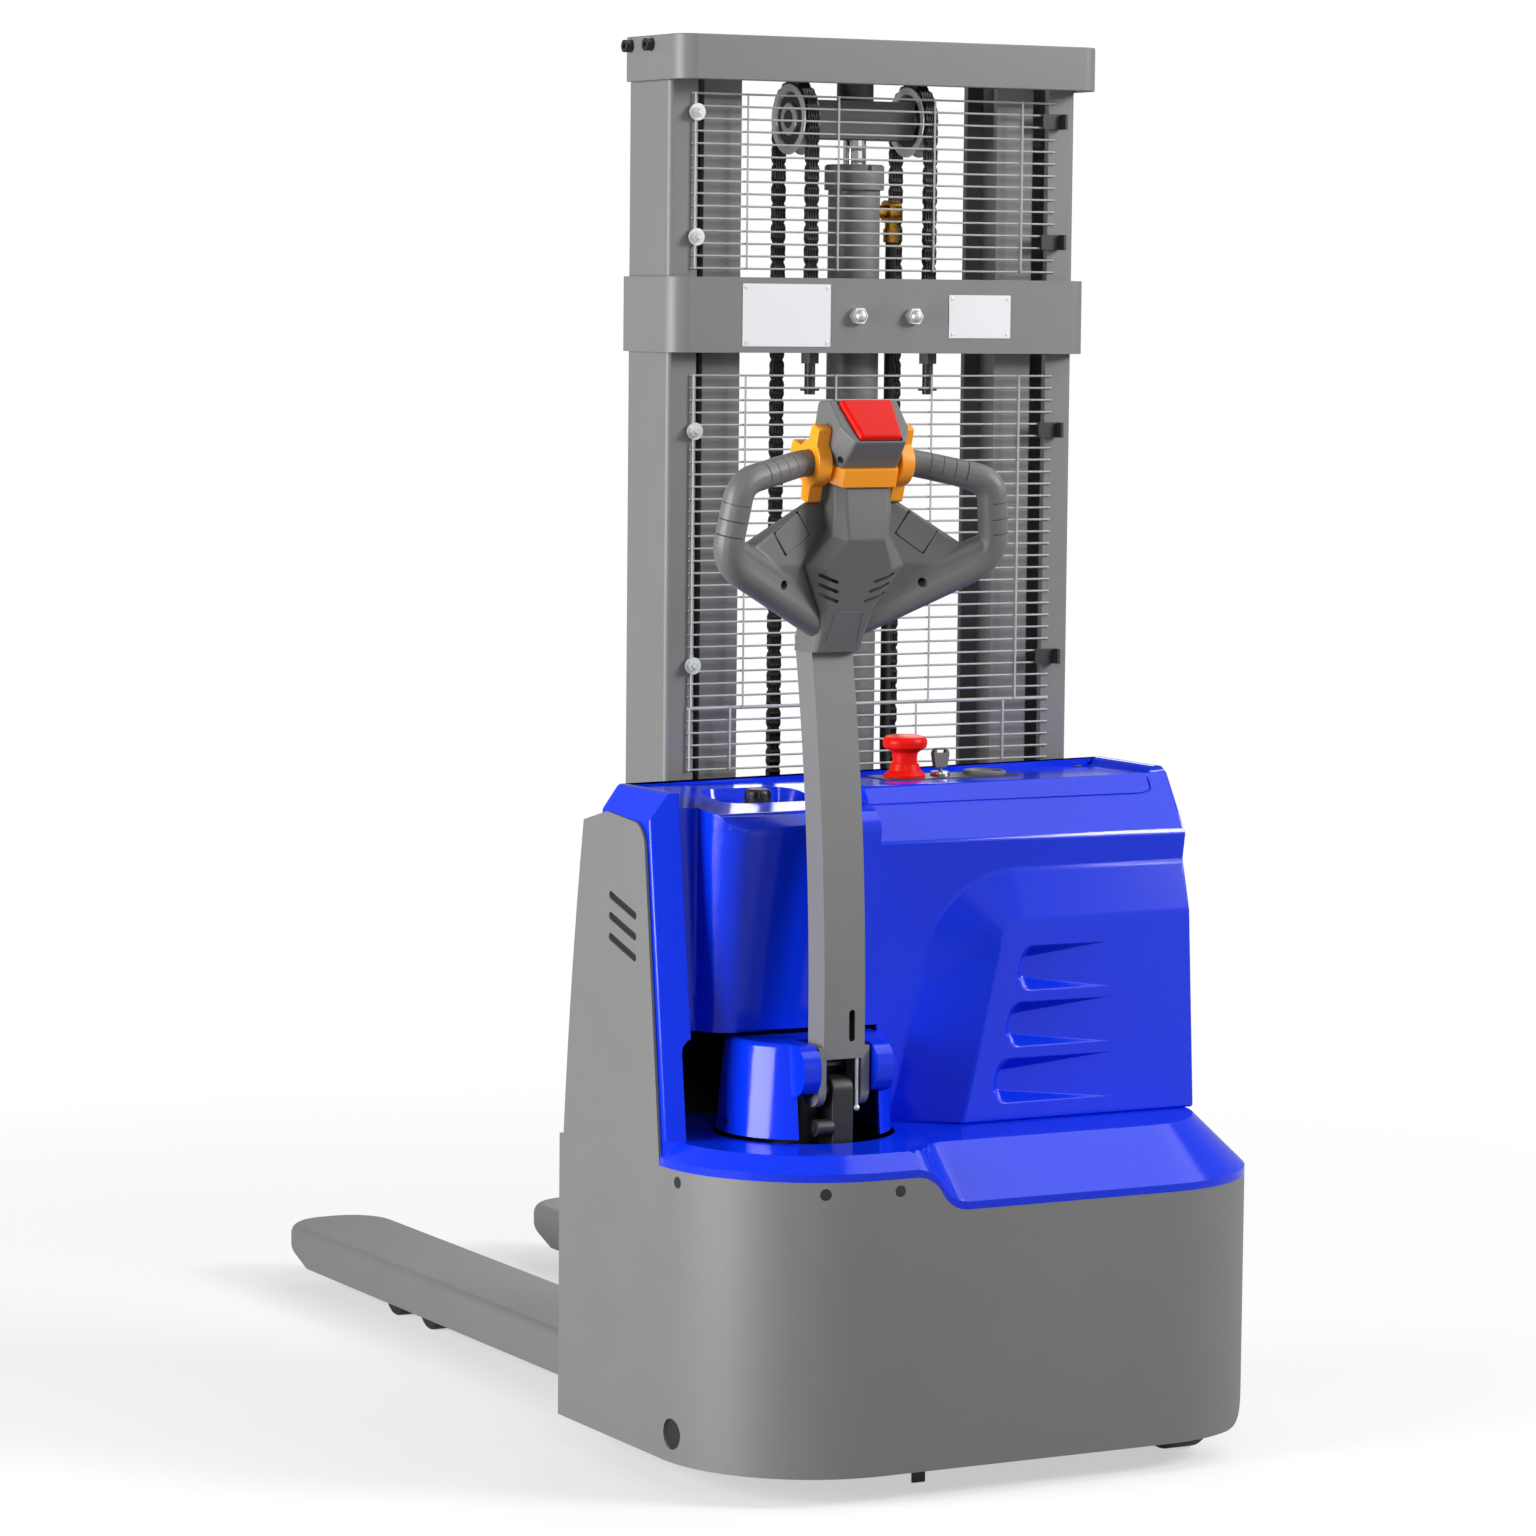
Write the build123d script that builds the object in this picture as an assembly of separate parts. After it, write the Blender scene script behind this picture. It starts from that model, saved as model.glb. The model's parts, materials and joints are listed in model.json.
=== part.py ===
"""Electric stacker: a walking operator's fork truck with a two-stage mast and a tiller.

Millimetres. +X is to the operator's right, +Y runs from the operator to the fork tips and +Z is up
from the floor. The origin is on the floor, at the middle of the truck's length and width.
"""
import math
import os

from build123d import *

# Overall sizes
LENGTH = 1726.0
BODY_WIDTH = 820.0
MAST_TOP = 1815.0
HALF = BODY_WIDTH / 2
FRONT = -LENGTH / 2

# The steering axis, which the left half of the truck is laid out from
STEER_INSET = 208.0
STEER_SETBACK = 225.0
STEER_X = -HALF + STEER_INSET
STEER_Y = FRONT + STEER_SETBACK

# Clearances shared by every fit
RUN = 0.05
SLIP = 0.4
SEAT = 0.3
PASS = 10.0

# Skirt: grey sheet steel with a tall panel on the left
SKIRT_T = 4.0
SKIRT_BOTTOM = 38.0
SKIRT_TOP = 407.0
SKIRT_DIP = 45.0
SKIRT_DEPTH = 500.0
SKIRT_CORNER = 200.0
STEP_X = STEER_X + 37.0
STEP_RUN = 75.0
HEEL_LIFT = 60.0
HEEL_SETBACK = 30.0
TOWER_TOP = 836.0
TOWER_FOOT_Y = 218.0
TOWER_HEAD_Y = 268.0
TOWER_PEAK_Y = 372.0
TOWER_REAR_Y = 436.0
TOWER_DIP = 8.0
TOWER_BEND_Z = 213.0
TOWER_CORNER = 32.0
VENT_COUNT = 3
VENT_PITCH = 26.5
VENT_LENGTH = 79.0
VENT_WIDTH = 10.0
VENT_TILT = 16.0
VENT_Y = 324.0
VENT_Z = 695.0
TIE_HOLE_D = 39.0
TIE_HOLE_Y = 182.0
TIE_HOLE_Z = 74.0

# Base cover: the blue ledge on the skirt
COVER_WALL = 4.0
LEDGE_LIP = 10.0
LEDGE_TOP = 437.0
LEDGE_SLOPE = 46.0
SIDE_GAP = 1.0

# Main cover
COVER_LEFT = -HALF + SKIRT_T + SIDE_GAP
COVER_RIGHT = HALF - 58.0
COVER_REAR_Y = 395.0
COVER_TOP = 868.0
PANEL_FOOT_Y = 238.0
PANEL_HEAD_Y = 205.0
PANEL_HEAD_Z = 797.0
PANEL_LEFT = COVER_LEFT + 69.0
PANEL_ROUND = 42.0
STRIP_BACK_Y = 250.0
HEAD_SPLIT_X = STEER_X + 97.0
SHELF_FRONT_Z = 842.0
SHELF_BEVEL = 16.0
BACK_FACE_Y = 264.0
PILLAR_RIGHT = COVER_LEFT + 37.0
PILLAR_FOOT_Y = 214.0
PILLAR_HEAD_Y = 258.0
PILLAR_TURN = 16.0
TOP_CHAMFER_X = 24.0
TOP_CHAMFER_Z = 33.0
BOX_FOOT_Y = 174.0
BOX_HEAD_Y = 190.0
BOX_HEAD_Z = 694.0
BOX_BACK_Z = 762.0
BOX_LEFT = COVER_RIGHT - 350.0
BOX_SHOULDER_X = BOX_LEFT + 71.0
BOX_SPREAD = 78.0
BOX_BACK_SPREAD = 90.0
BOX_ROUND = 40.0
BOX_BACK_ROUND = 130.0
LOUVRE_COUNT = 3
LOUVRE_DEPTH = 20.0
LOUVRE_TAPER = 38.0
LOUVRE_RIGHT = COVER_RIGHT - 132.0
LOUVRE_MARGIN = 33.0
LOUVRE_Z = 460.0
LOUVRE_PITCH = 71.5
LOUVRE_HEIGHT = 57.0
LOUVRE_ROUND = 6.0
RIM_WIDTH = 30.0
RIM_HEIGHT = 11.0
CAVITY_TOP = 566.0
CAVITY_LEFT = COVER_LEFT + 25.0
CAVITY_RIGHT = STEER_X + 60.0
CAVITY_ROUND = 20.0
DISH_X = STEER_X - 22.0
DISH_Y = 314.0
DISH_LENGTH = 128.0
DISH_WIDTH = 74.0
DISH_DEPTH = 30.0
DISH_ROUND = 26.0

# Controls on the top of the cover
STOP_X = 0.0
CONTROL_Y = 330.0
STOP_HEAD_R = 29.0
STOP_HEAD_H = 20.0
STOP_STEM_R = 16.0
STOP_RISE = 32.0
STOP_TRAVEL = 10.0
STOP_BASE_R = 27.0
STOP_BASE_H = 4.0
STOP_BODY_H = 40.0
KEY_X = 53.0
LOCK_R = 13.0
LOCK_H = 7.0
LOCK_BODY_R = 10.0
LOCK_BODY_H = 32.0
KEY_SHAFT_R = 2.6
KEY_SHAFT_H = 24.0
KEY_HEAD_W = 27.0
KEY_HEAD_H = 25.0
KEY_HEAD_T = 8.0
KEY_HEAD_LIFT = 5.0
GAUGE_X = 120.0
GAUGE_R = 28.0
GAUGE_H = 6.0
GAUGE_BODY_R = 25.0
GAUGE_BODY_H = 36.0
SOCKET_R = 23.0
SOCKET_H = 14.0
SOCKET_CAP_R = 17.0
SOCKET_CAP_H = 18.0
SOCKET_LOBES = 6

# Steering turntable and drive unit
TURN_R = 111.0
TURN_TOP_R = 101.0
TURN_BOTTOM = 441.0
TURN_TOP = 560.0
TURN_CAP = 8.0
TURN_GAP = 5.0
TURN_SPLIT = 1.0
SLOT_HALF = 40.0
SLOT_LOW_HALF = 58.0
SLOT_LOW_TOP = 500.0
CHEEK_WIDTH = 24.0
CHEEK_FRONT = 119.0
CHEEK_LOW = 496.0
CHEEK_ROUND = 28.0
DECK_Z = 330.0
DECK_T = 10.0
RING_R = 104.0
RING_LIP = 14.0
RING_TOP = 345.0
MOTOR_R = 62.0
MOTOR_TOP = 530.0
BRAKE_R = 46.0
WHEEL_R = 115.0
WHEEL_WIDTH = 75.0
TYRE_T = 22.0
HUB_R = 46.0
DRIVE_AXLE_R = 20.0
GEARBOX_WIDTH = 50.0
GEARBOX_HALF = 55.0
GEARBOX_FLOOR = 58.0

# Tiller
PIVOT_SETBACK = 141.0
PIVOT_Z = 500.0
PIN_R = 8.0
LUG_HALF = 15.0
LUG_DEPTH = 38.0
ARM_WIDTH = 58.0
ARM_DEPTH = 41.0
ARM_WALL = 4.0
ARM_FRONT_SETBACK = 121.0
ARM_FOOT_Z = 541.0
ARM_BEND_Z = 590.0
ARM_TOP_Z = 1066.0
ARM_BOW = 2500.0
ARM_SLOT_Z = 582.0
ARM_SLOT_LENGTH = 40.0
ARM_SLOT_WIDTH = 9.0
ARM_SLOT_X = 11.0
EAR_OUTER = 36.0
EAR_INNER = 25.0
EAR_R = 20.0
EAR_SHOULDER = 15.0

# Tiller head, in its own upright frame before it leans towards the operator
HEAD_LEAN = 17.0
HEAD_SETBACK = 180.0
HEAD_Z = 1038.0
COLLAR_HALF = 32.0
COLLAR_FRONT = -28.0
COLLAR_Z = 19.0
HEAD_BACK = 24.0
COLLAR_TOP = 72.0
CREST_FRONT = -55.0
CREST_Z = 175.0
CREST_HALF = 25.0
SHOULDER_HALF = 68.0
SHOULDER_Z = 134.0
NECK_HALF = 40.0
NECK_FACE = 29.0
NECK_FRONT = -46.0
NECK_Z = 204.0
NECK_TOP = 237.0
BLOCK_HALF = 48.0
BLOCK_FACE = 35.0
BLOCK_FRONT = -31.0
BROW_FRONT = -50.0
BLOCK_BACK = 36.0
BLOCK_BROW_Z = 300.0
BLOCK_TOP_Z = 334.0
BLOCK_TOP_Y = 10.0
BAND_T = 7.0
BAND_CORNER = 15.0
BAND_HEIGHT = 23.0
GRIP_R = 18.5
GRIP_Z = 256.0
GRIP_Y = 2.0
GRIP_DROP = 12.0
GRIP_SWEEP = 34.0
LOOP_SWEEP = 48.0
GRIP_OUT = 176.0
LOOP_OUT = 190.0
LOOP_LOW_Z = 146.0
LOOP_END_X = 28.0
LOOP_END_Z = 50.0
LOOP_BEND = 32.0
LOOP_LOW_BEND = 60.0
WING_FRONT = -16.0
WING_SWEEP = 28.0
WING_T = 30.0
WING_RIDGE_Z = 135.0
WING_LEAN = 18.0
WING_OUT = 152.0
WING_OUT_Z = 158.0
WING_IN = 62.0
WING_IN_Z = 208.0
WING_LOW_X = 150.0
WING_LOW_Z = 112.0
WING_EDGE = 5.0
BOSS_X = 98.0
BOSS_Z = 112.0
BOSS_HOLE_R = 6.0
BOSS_DEPTH = 12.0
PAD_WIDTH = 44.0
PAD_HEIGHT = 34.0
PAD_X = 88.0
PAD_Z = 172.0
PAD_TILT = 32.0
PAD_T = 4.0
PAD_PROUD = 1.0
PAD_TRAVEL = 1.5
THROTTLE_R = 29.0
THROTTLE_T = 19.0
THROTTLE_BORE_R = 16.0
LOBE_OUT = 49.0
LOBE_HALF = 13.0
LOBE_ANGLES = (94.0, 8.0, 266.0)
REVERSE_FRONT = 29.0
REVERSE_REAR = 37.0
REVERSE_LENGTH = 63.0
REVERSE_PROUD = 7.0
REVERSE_SINK = 4.0
REVERSE_TRAVEL = 6.0
REVERSE_TAPER = 8.0

# Outer mast
MAST_SETBACK = 423.0
MAST_WIDTH = 603.0
CHANNEL_DEPTH = 115.0
CHANNEL_FLANGE = 41.0
CHANNEL_WEB = 8.0
CHANNEL_T = 10.0
CHANNEL_ROUND = 7.0
FOOT_Z = 22.0
FOOT_TOP = 62.0
TOP_BEAM_T = 10.0
TOP_BEAM_HEIGHT = 57.0
TOP_BEAM_SETBACK = 373.0
TOP_BEAM_DEPTH = 153.0
BEAM_BEND = 26.0
PLATE_T = 8.0
PLATE_BOTTOM = MAST_TOP - 401.0
PLATE_HEIGHT = 96.0
PLATE_SETBACK = 395.0
PLATE_DEPTH = 138.0
BOLT_HEAD_R = 8.0
BOLT_HEAD_H = 11.0
BOLT_DROP = 12.0
BOLT_INSET = 14.0
BOLT_SPACING = 58.0
LABEL_T = 1.0
LEFT_LABEL_X = -145.0
LEFT_LABEL_SIZE = (128.0, 80.0)
RIGHT_LABEL_X = 142.0
RIGHT_LABEL_SIZE = (93.0, 56.0)

# Inner mast, sliding between the outer channels
INNER_WIDTH = 490.0
BEAM_FLANGE = 55.0
BEAM_DEPTH = 87.0
BEAM_T = 10.0
BEAM_WEB = 8.0
INNER_TOP = MAST_TOP - 9.0
INNER_TIE = 36.0
INNER_TIE_DEPTH = 60.0
INNER_FOOT_TIE = 24.0
INNER_FOOT_TIE_T = 10.0
ROLLER_AXLE_R = 11.0
ROLLER_SIDE = 2.0
INNER_ROLLER_Z = 140.0
TOP_ROLLER_Z = MAST_TOP - 125.0

# Lift cylinder
BARREL_R = 34.0
BORE_R = 25.0
BARREL_TOP = MAST_TOP - 190.0
BARREL_FLOOR = 30.0
GLAND_R = 39.0
GLAND_H = 33.0
GLAND_NOTCH = 8.0
ROD_R = 15.0
PISTON_H = 30.0
PISTON_BOTTOM = 330.0
CLAMP_R = 7.0
CLAMP_Z = PLATE_BOTTOM + PLATE_HEIGHT / 2
NUT_R = 11.5
NUT_H = 9.0
PORT_Z = BARREL_TOP - 27.0
PORT_R = 9.0
BANJO_R = 15.0
BANJO_WIDTH = 18.0
STEM_R = 8.0
STEM_DROP = 40.0
HOSE_R = 7.0
HOSE_TURN_Z = 806.0
HOSE_BEND = 80.0

# Lift chains
CHAIN_X = 88.0
CHAIN_R = 45.0
CHAIN_T = 14.0
CHAIN_WIDTH = 15.0
CHAIN_WHEEL_R = 46.0
CHAIN_WHEEL_Z = MAST_TOP - 100.0
CHAIN_WHEEL_FLANGE = 3.5
CHAIN_AXLE_R = 12.0
CROSSHEAD_HEIGHT = 50.0
CROSSHEAD_DEPTH = 50.0
CROSSHEAD_BOSS_R = 24.0
ANCHOR_LUG_HALF = 17.0
ANCHOR_LUG_H = 18.0
ANCHOR_ROD_R = 7.0
ANCHOR_ROD_LOW = PLATE_BOTTOM - 54.0
ANCHOR_NUT_R = 13.0
ANCHOR_NUT_H = 14.0
ANCHOR_EYE_H = 24.0

# Wire guards in front of the mast
GUARD_HALF = 270.0
GUARD_WIRE = 3.2
GUARD_PITCH = 15.8
UPPER_GUARD_Z = PLATE_BOTTOM + PLATE_HEIGHT + 11.0
UPPER_GUARD_ROWS = 15
LOWER_GUARD_Z = COVER_TOP + 11.0
LOWER_GUARD_ROWS = int((PLATE_BOTTOM - LOWER_GUARD_Z) / GUARD_PITCH)
LOWER_BAR_ROW = 5
LOWER_BAR_WIRE = 6.0
GUARD_BARS = (-191.0, -58.0, 85.0, 218.0)
GUARD_FIX_X = 264.0
GUARD_FIX_ROWS_UPPER = (2, 12)
GUARD_FIX_ROWS_LOWER = (8, 27)
GUARD_BOLT_R = 4.0
GUARD_WASHER_R = 11.0
GUARD_WASHER_T = 3.0
GUARD_NUT_R = 7.0
GUARD_NUT_H = 7.0
CLIP_LENGTH = 32.0
CLIP_HEIGHT = 20.0
CLIP_T = 4.0

# Forks, legs and carriage
FORK_SPREAD = 570.0
FORK_WIDTH = 164.0
FORK_TOP = 88.0
FORK_BOTTOM = 30.0
FORK_T = 8.0
FORK_ROUND = 15.0
FORK_NOSE = 72.0
FORK_CUT_Y = 115.0
FORK_CUT_Z = 42.0
FORK_HEEL_Y = 560.0
CARRIAGE_FACE_Y = 548.0
SHANK_WIDTH = 120.0
SHANK_TOP = 430.0
SHANK_GUSSET = 90.0
CARRIAGE_LOW = 92.0
CARRIAGE_TOP = 430.0
CARRIAGE_BAR = 64.0
CARRIAGE_BAR_T = 14.0
CARRIAGE_PLATE_T = 10.0
CARRIAGE_GAP = 5.0
CARRIAGE_ROLLER_LOW = 150.0
CARRIAGE_ROLLER_HIGH = 370.0
CHAIN_LUG_Z = 396.0
CHAIN_LUG_H = 22.0
LEG_WIDTH = 128.0
LEG_TOP = 74.0
LEG_T = 8.0
LEG_END_Y = LENGTH - 248.0
LOAD_ROLLER_R = 37.0
LOAD_ROLLER_WIDTH = 92.0
LOAD_ROLLER_Y = (LENGTH - 474.0, LENGTH - 356.0)
LOAD_AXLE_R = 10.0
LEG_WINDOW = 44.0

# Base frame and what it carries inside
BULKHEAD_T = 8.0
BULKHEAD_TOP = 858.0
BULKHEAD_FOOT = 60.0
BACK_PANEL_TOP = 818.0
FRAME_SPLIT_X = STEER_X + 150.0
TRAY_Z = 150.0
TRAY_T = 10.0
STRAP_X = STEER_X + 74.0
STRAP_WIDTH = 18.0
STRAP_Y = 50.0
STRAP_BOTTOM = 12.0
BATTERY_LEFT = FRAME_SPLIT_X + 26.0
BATTERY_RIGHT = HALF - 86.0
BATTERY_DEPTH = 300.0
BATTERY_HEIGHT = 220.0
BATTERY_Y = 72.0
BATTERY_GAP = 6.0
PUMP_X = COVER_RIGHT - 102.0
PUMP_R = 52.0
PUMP_HEIGHT = 150.0
TANK_SIZE = (210.0, 110.0, 190.0)
TANK_X = 55.0
MANIFOLD_H = 60.0
CONTROLLER_SIZE = (190.0, 70.0, 150.0)
CONTROLLER_X = STEER_X - 48.0
CONTROLLER_Z = 650.0

# Support caster
CASTER_X = HALF - 110.0
CASTER_SETBACK = 165.0
CASTER_R = 58.0
CASTER_WIDTH = 50.0
CASTER_TRAIL = 34.0
CASTER_PLATE_T = 6.0
CASTER_FORK_T = 6.0
CASTER_AXLE_R = 9.0
CASTER_STEM_R = 14.0

# Skirt screws
SCREW_R = 7.0
SCREW_H = 4.0
SCREW_DROP = 15.0
SCREW_X = STEER_X + 14.0
SCREW_TURNS = (22.0, 82.0)

# Places worked out from the sizes above
PIVOT_Y = FRONT + PIVOT_SETBACK
MAST_Y = FRONT + MAST_SETBACK
MAST_MID = MAST_Y + CHANNEL_DEPTH / 2
MAST_BACK = MAST_Y + CHANNEL_DEPTH
MAST_HALF = MAST_WIDTH / 2
INNER_HALF = INNER_WIDTH / 2
BEAM_INSIDE = INNER_HALF - BEAM_FLANGE
BEAM_WEB_X = INNER_HALF - BEAM_FLANGE / 2
SKIRT_LOW_TOP = SKIRT_TOP - SKIRT_DIP
COVER_REAR = FRONT + COVER_REAR_Y
BULKHEAD_Y = COVER_REAR + BULKHEAD_T
FORK_X = (FORK_SPREAD - FORK_WIDTH) / 2
FORK_HEEL = FRONT + FORK_HEEL_Y
CARRIAGE_FACE = FRONT + CARRIAGE_FACE_Y
CROSSHEAD_LOW = CHAIN_WHEEL_Z - CROSSHEAD_HEIGHT / 2
CROSSHEAD_TOP = CHAIN_WHEEL_Z + CROSSHEAD_HEIGHT / 2
CROSSHEAD_HALF = CHAIN_X - CHAIN_WIDTH / 2 - CHAIN_WHEEL_FLANGE - 2 * SLIP
PLATE_Y = FRONT + PLATE_SETBACK
GUARD_Y = MAST_Y - GUARD_WIRE
CONTROL_ROW = FRONT + CONTROL_Y

SIDE = Plane(origin=(0, 0, 0), x_dir=(0, 1, 0), z_dir=(1, 0, 0))
FACE = Plane(origin=(0, 0, 0), x_dir=(1, 0, 0), z_dir=(0, -1, 0))


def block(x, y, z):
    """A box between pairs of limits."""
    limits = (x, y, z)
    size = [high - low for low, high in limits]
    middle = [(high + low) / 2 for low, high in limits]
    return Pos(*middle) * Box(*size)


def rod_x(x, y, z, radius):
    """A round bar along X between a pair of limits."""
    return Pos(sum(x) / 2, y, z) * Rot(0, 90, 0) * Cylinder(radius, x[1] - x[0])


def rod_y(x, y, z, radius):
    """A round bar along Y between a pair of limits."""
    return Pos(x, sum(y) / 2, z) * Rot(90, 0, 0) * Cylinder(radius, y[1] - y[0])


def rod_z(x, y, z, radius):
    """A round bar along Z between a pair of limits."""
    return Pos(x, y, sum(z) / 2) * Cylinder(radius, z[1] - z[0])


def polygon(*points):
    """A flat face through points."""
    return make_face(Polyline(*points, close=True))


def rounded(points, radii):
    """A flat face through points with a radius at each."""
    return make_face(FilletPolyline(*points, radius=radii, close=True))


def side_prism(sketch, x):
    """A sketch in Y and Z, drawn out along X."""
    return Pos(x[0], 0, 0) * extrude(SIDE * sketch, amount=x[1] - x[0])


def front_prism(sketch, y):
    """A sketch in X and Z, drawn out along Y."""
    return Pos(0, y[1], 0) * extrude(FACE * sketch, amount=y[1] - y[0])


def plan_prism(sketch, z):
    """A sketch in X and Y, drawn up along Z."""
    return Pos(0, 0, z[0]) * extrude(sketch, amount=z[1] - z[0])


def leaning_prism(sketch, z, shift):
    """A sketch in X and Y, drawn up along Z while it slides along Y."""
    rise = z[1] - z[0]
    return Pos(0, 0, z[0]) * extrude(sketch, amount=math.hypot(rise, shift), dir=(0, shift, rise))


def both_sides(shape):
    """A shape and its mirror image across the truck's middle."""
    return [shape, mirror(shape, about=Plane.YZ)]


def write(node, *shapes):
    """Writes one node's solids."""
    solids = [solid for shape in shapes for solid in shape.solids()]
    export_step(solids[0] if len(solids) == 1 else Compound(solids), f"parts/{node}.step")


def hexagon(radius):
    """A nut's outline."""
    return RegularPolygon(radius, 6)


# Skirt and base cover

def plan_outline(inset, rear):
    """The truck's outline from above, with its two round front corners."""
    left, right, front = -HALF + inset, HALF - inset, FRONT + inset
    corner = SKIRT_CORNER - inset
    return rounded([(left, front), (right, front), (right, rear), (left, rear)], [corner, corner, 0, 0])


def step_profile(lift, floor):
    """The area under the skirt's top edge seen from the front: high on the left, low on the right."""
    turn = 2 * math.degrees(math.atan2(SKIRT_DIP, STEP_RUN))
    radius = STEP_RUN / (2 * math.sin(math.radians(turn)))
    down = JernArc((STEP_X, SKIRT_TOP + lift), (1, 0), radius, -turn)
    level = JernArc(down @ 1, down % 1, radius, turn)
    end = level @ 1
    reach = BODY_WIDTH
    border = Polyline(end, (reach, end.Y), (reach, floor), (-reach, floor),
                      (-reach, SKIRT_TOP + lift), (STEP_X, SKIRT_TOP + lift))
    return make_face([down, level, border])


def tower_panel():
    """The tall left side panel, with its vents."""
    rear = FRONT + SKIRT_DEPTH
    foot = (FRONT + TOWER_FOOT_Y, SKIRT_TOP)
    head = (FRONT + TOWER_HEAD_Y, TOWER_TOP - TOWER_DIP)
    peak = (FRONT + TOWER_PEAK_Y, TOWER_TOP)
    back = (FRONT + TOWER_REAR_Y, TOWER_TOP - 2 * TOWER_DIP)
    low = (rear, TOWER_BEND_Z)
    bulge = ((back[0] * 2 + low[0] * 3) / 5 + SKIRT_T, (back[1] + low[1]) / 2)
    edge = ThreePointArc(low, bulge, back)
    border = Polyline(back, peak, head, foot, (foot[0], TOWER_BEND_Z), low)
    sketch = make_face([edge, border])
    corner = sketch.vertices().sort_by_distance((head[0], head[1], 0))[0]
    sketch = fillet(corner, TOWER_CORNER)
    for row in range(VENT_COUNT):
        place = Pos(FRONT + VENT_Y, VENT_Z + (row - (VENT_COUNT - 1) / 2) * VENT_PITCH)
        sketch -= place * Rot(0, 0, VENT_TILT) * SlotOverall(VENT_LENGTH, VENT_WIDTH)
    return side_prism(sketch, (-HALF, -HALF + SKIRT_T))


def heel(rear):
    """What is cut from the skirt's lower right side, with a round start."""
    start = (FRONT + HEEL_SETBACK, SKIRT_BOTTOM)
    rise = JernArc(start, (1, 0), HEEL_LIFT, 90)
    end = rise @ 1
    border = Polyline(end, (rear, end.Y), (rear, SKIRT_BOTTOM), start)
    return make_face([rise, border])


def skirt():
    rear = FRONT + SKIRT_DEPTH
    wrap = plan_prism(plan_outline(0, rear), (SKIRT_BOTTOM, SKIRT_TOP))
    wrap -= plan_prism(plan_outline(SKIRT_T, rear + PASS), (SKIRT_BOTTOM, SKIRT_TOP))
    wrap &= front_prism(step_profile(0, SKIRT_BOTTOM), (FRONT, rear))
    wrap -= side_prism(heel(rear), (HALF - SKIRT_CORNER, HALF))
    wrap += tower_panel()
    for hole in skirt_screws(SEAT):
        wrap -= hole
    return wrap - rod_x((-HALF, -HALF + SKIRT_T), FRONT + TIE_HOLE_Y, TIE_HOLE_Z, TIE_HOLE_D / 2)


def ledge_volume(inset):
    """The ledge as a block; an inset one is the hollow under it."""
    rear = COVER_REAR
    outline = plan_outline(inset, rear + SKIRT_CORNER)
    low, high = SKIRT_LOW_TOP - inset, LEDGE_TOP - inset
    slope = math.tan(math.radians(LEDGE_SLOPE))
    halves = []
    for lip in (SKIRT_TOP + LEDGE_LIP - inset, SKIRT_LOW_TOP + LEDGE_LIP - inset):
        straight = plan_prism(outline, (low, lip))
        bevel = Pos(0, 0, lip) * extrude(outline, amount=high - lip, taper=LEDGE_SLOPE)
        halves.append(straight + bevel)
    reach = HALF * 2
    bank = Pos(0, FRONT + inset, 0) * extrude(
        FACE * step_profile(LEDGE_LIP - inset, -reach), amount=reach, dir=(0, slope, 1))
    seam = STEP_X + 2 * STEP_RUN
    left = halves[0] & bank & block((-reach, seam), (FRONT, rear), (low, high))
    right = halves[1] & block((seam, reach), (FRONT, rear), (low, high))
    return left + right


def pillar(inset, z):
    """The upright at the cover's left front edge, leaning back."""
    lean = (PILLAR_HEAD_Y - PILLAR_FOOT_Y) / (PANEL_HEAD_Z - LEDGE_TOP)
    start = FRONT + PILLAR_FOOT_Y + (z[0] - LEDGE_TOP) * lean + inset
    left, right = COVER_LEFT + inset, PILLAR_RIGHT - inset
    depth = BACK_FACE_Y - PILLAR_FOOT_Y + PANEL_ROUND
    sketch = polygon((left, start), (right, start - PILLAR_TURN), (right, start + depth), (left, start + depth))
    return leaning_prism(sketch, z, (z[1] - z[0]) * lean)


def turntable_hole(z):
    return rod_z(STEER_X, STEER_Y, z, TURN_R + TURN_GAP)


def turntable_recess():
    """The room that the main cover leaves round the turntable's cover."""
    height = TURN_TOP + TURN_GAP - LEDGE_TOP
    return Pos(STEER_X, STEER_Y, LEDGE_TOP + height / 2) * Cone(TURN_R + TURN_GAP, TURN_TOP_R + TURN_GAP, height)


def base_cover():
    shell = ledge_volume(0) - ledge_volume(COVER_WALL)
    shell -= front_prism(step_profile(0, SKIRT_BOTTOM), (FRONT, COVER_REAR + PASS))
    tower_front = FRONT + TOWER_FOOT_Y - SIDE_GAP
    shell -= block((-HALF, COVER_LEFT), (tower_front, COVER_REAR), (SKIRT_BOTTOM, COVER_TOP))
    shell += pillar(0, (SKIRT_TOP, LEDGE_TOP))
    shell -= turntable_hole((SKIRT_BOTTOM, COVER_TOP))
    return shell


# Main cover

def box_lean():
    return (BOX_HEAD_Y - BOX_FOOT_Y) / (BOX_HEAD_Z - LEDGE_TOP)


def panel_lean():
    return (PANEL_HEAD_Y - PANEL_FOOT_Y) / (PANEL_HEAD_Z - LEDGE_TOP)


def leaning_plane(y, slope):
    """A plane across the truck that stands on the ledge and leans as it rises."""
    return Plane(origin=(0, FRONT + y, LEDGE_TOP), x_dir=(1, 0, 0), z_dir=(0, -1, slope))


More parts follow.
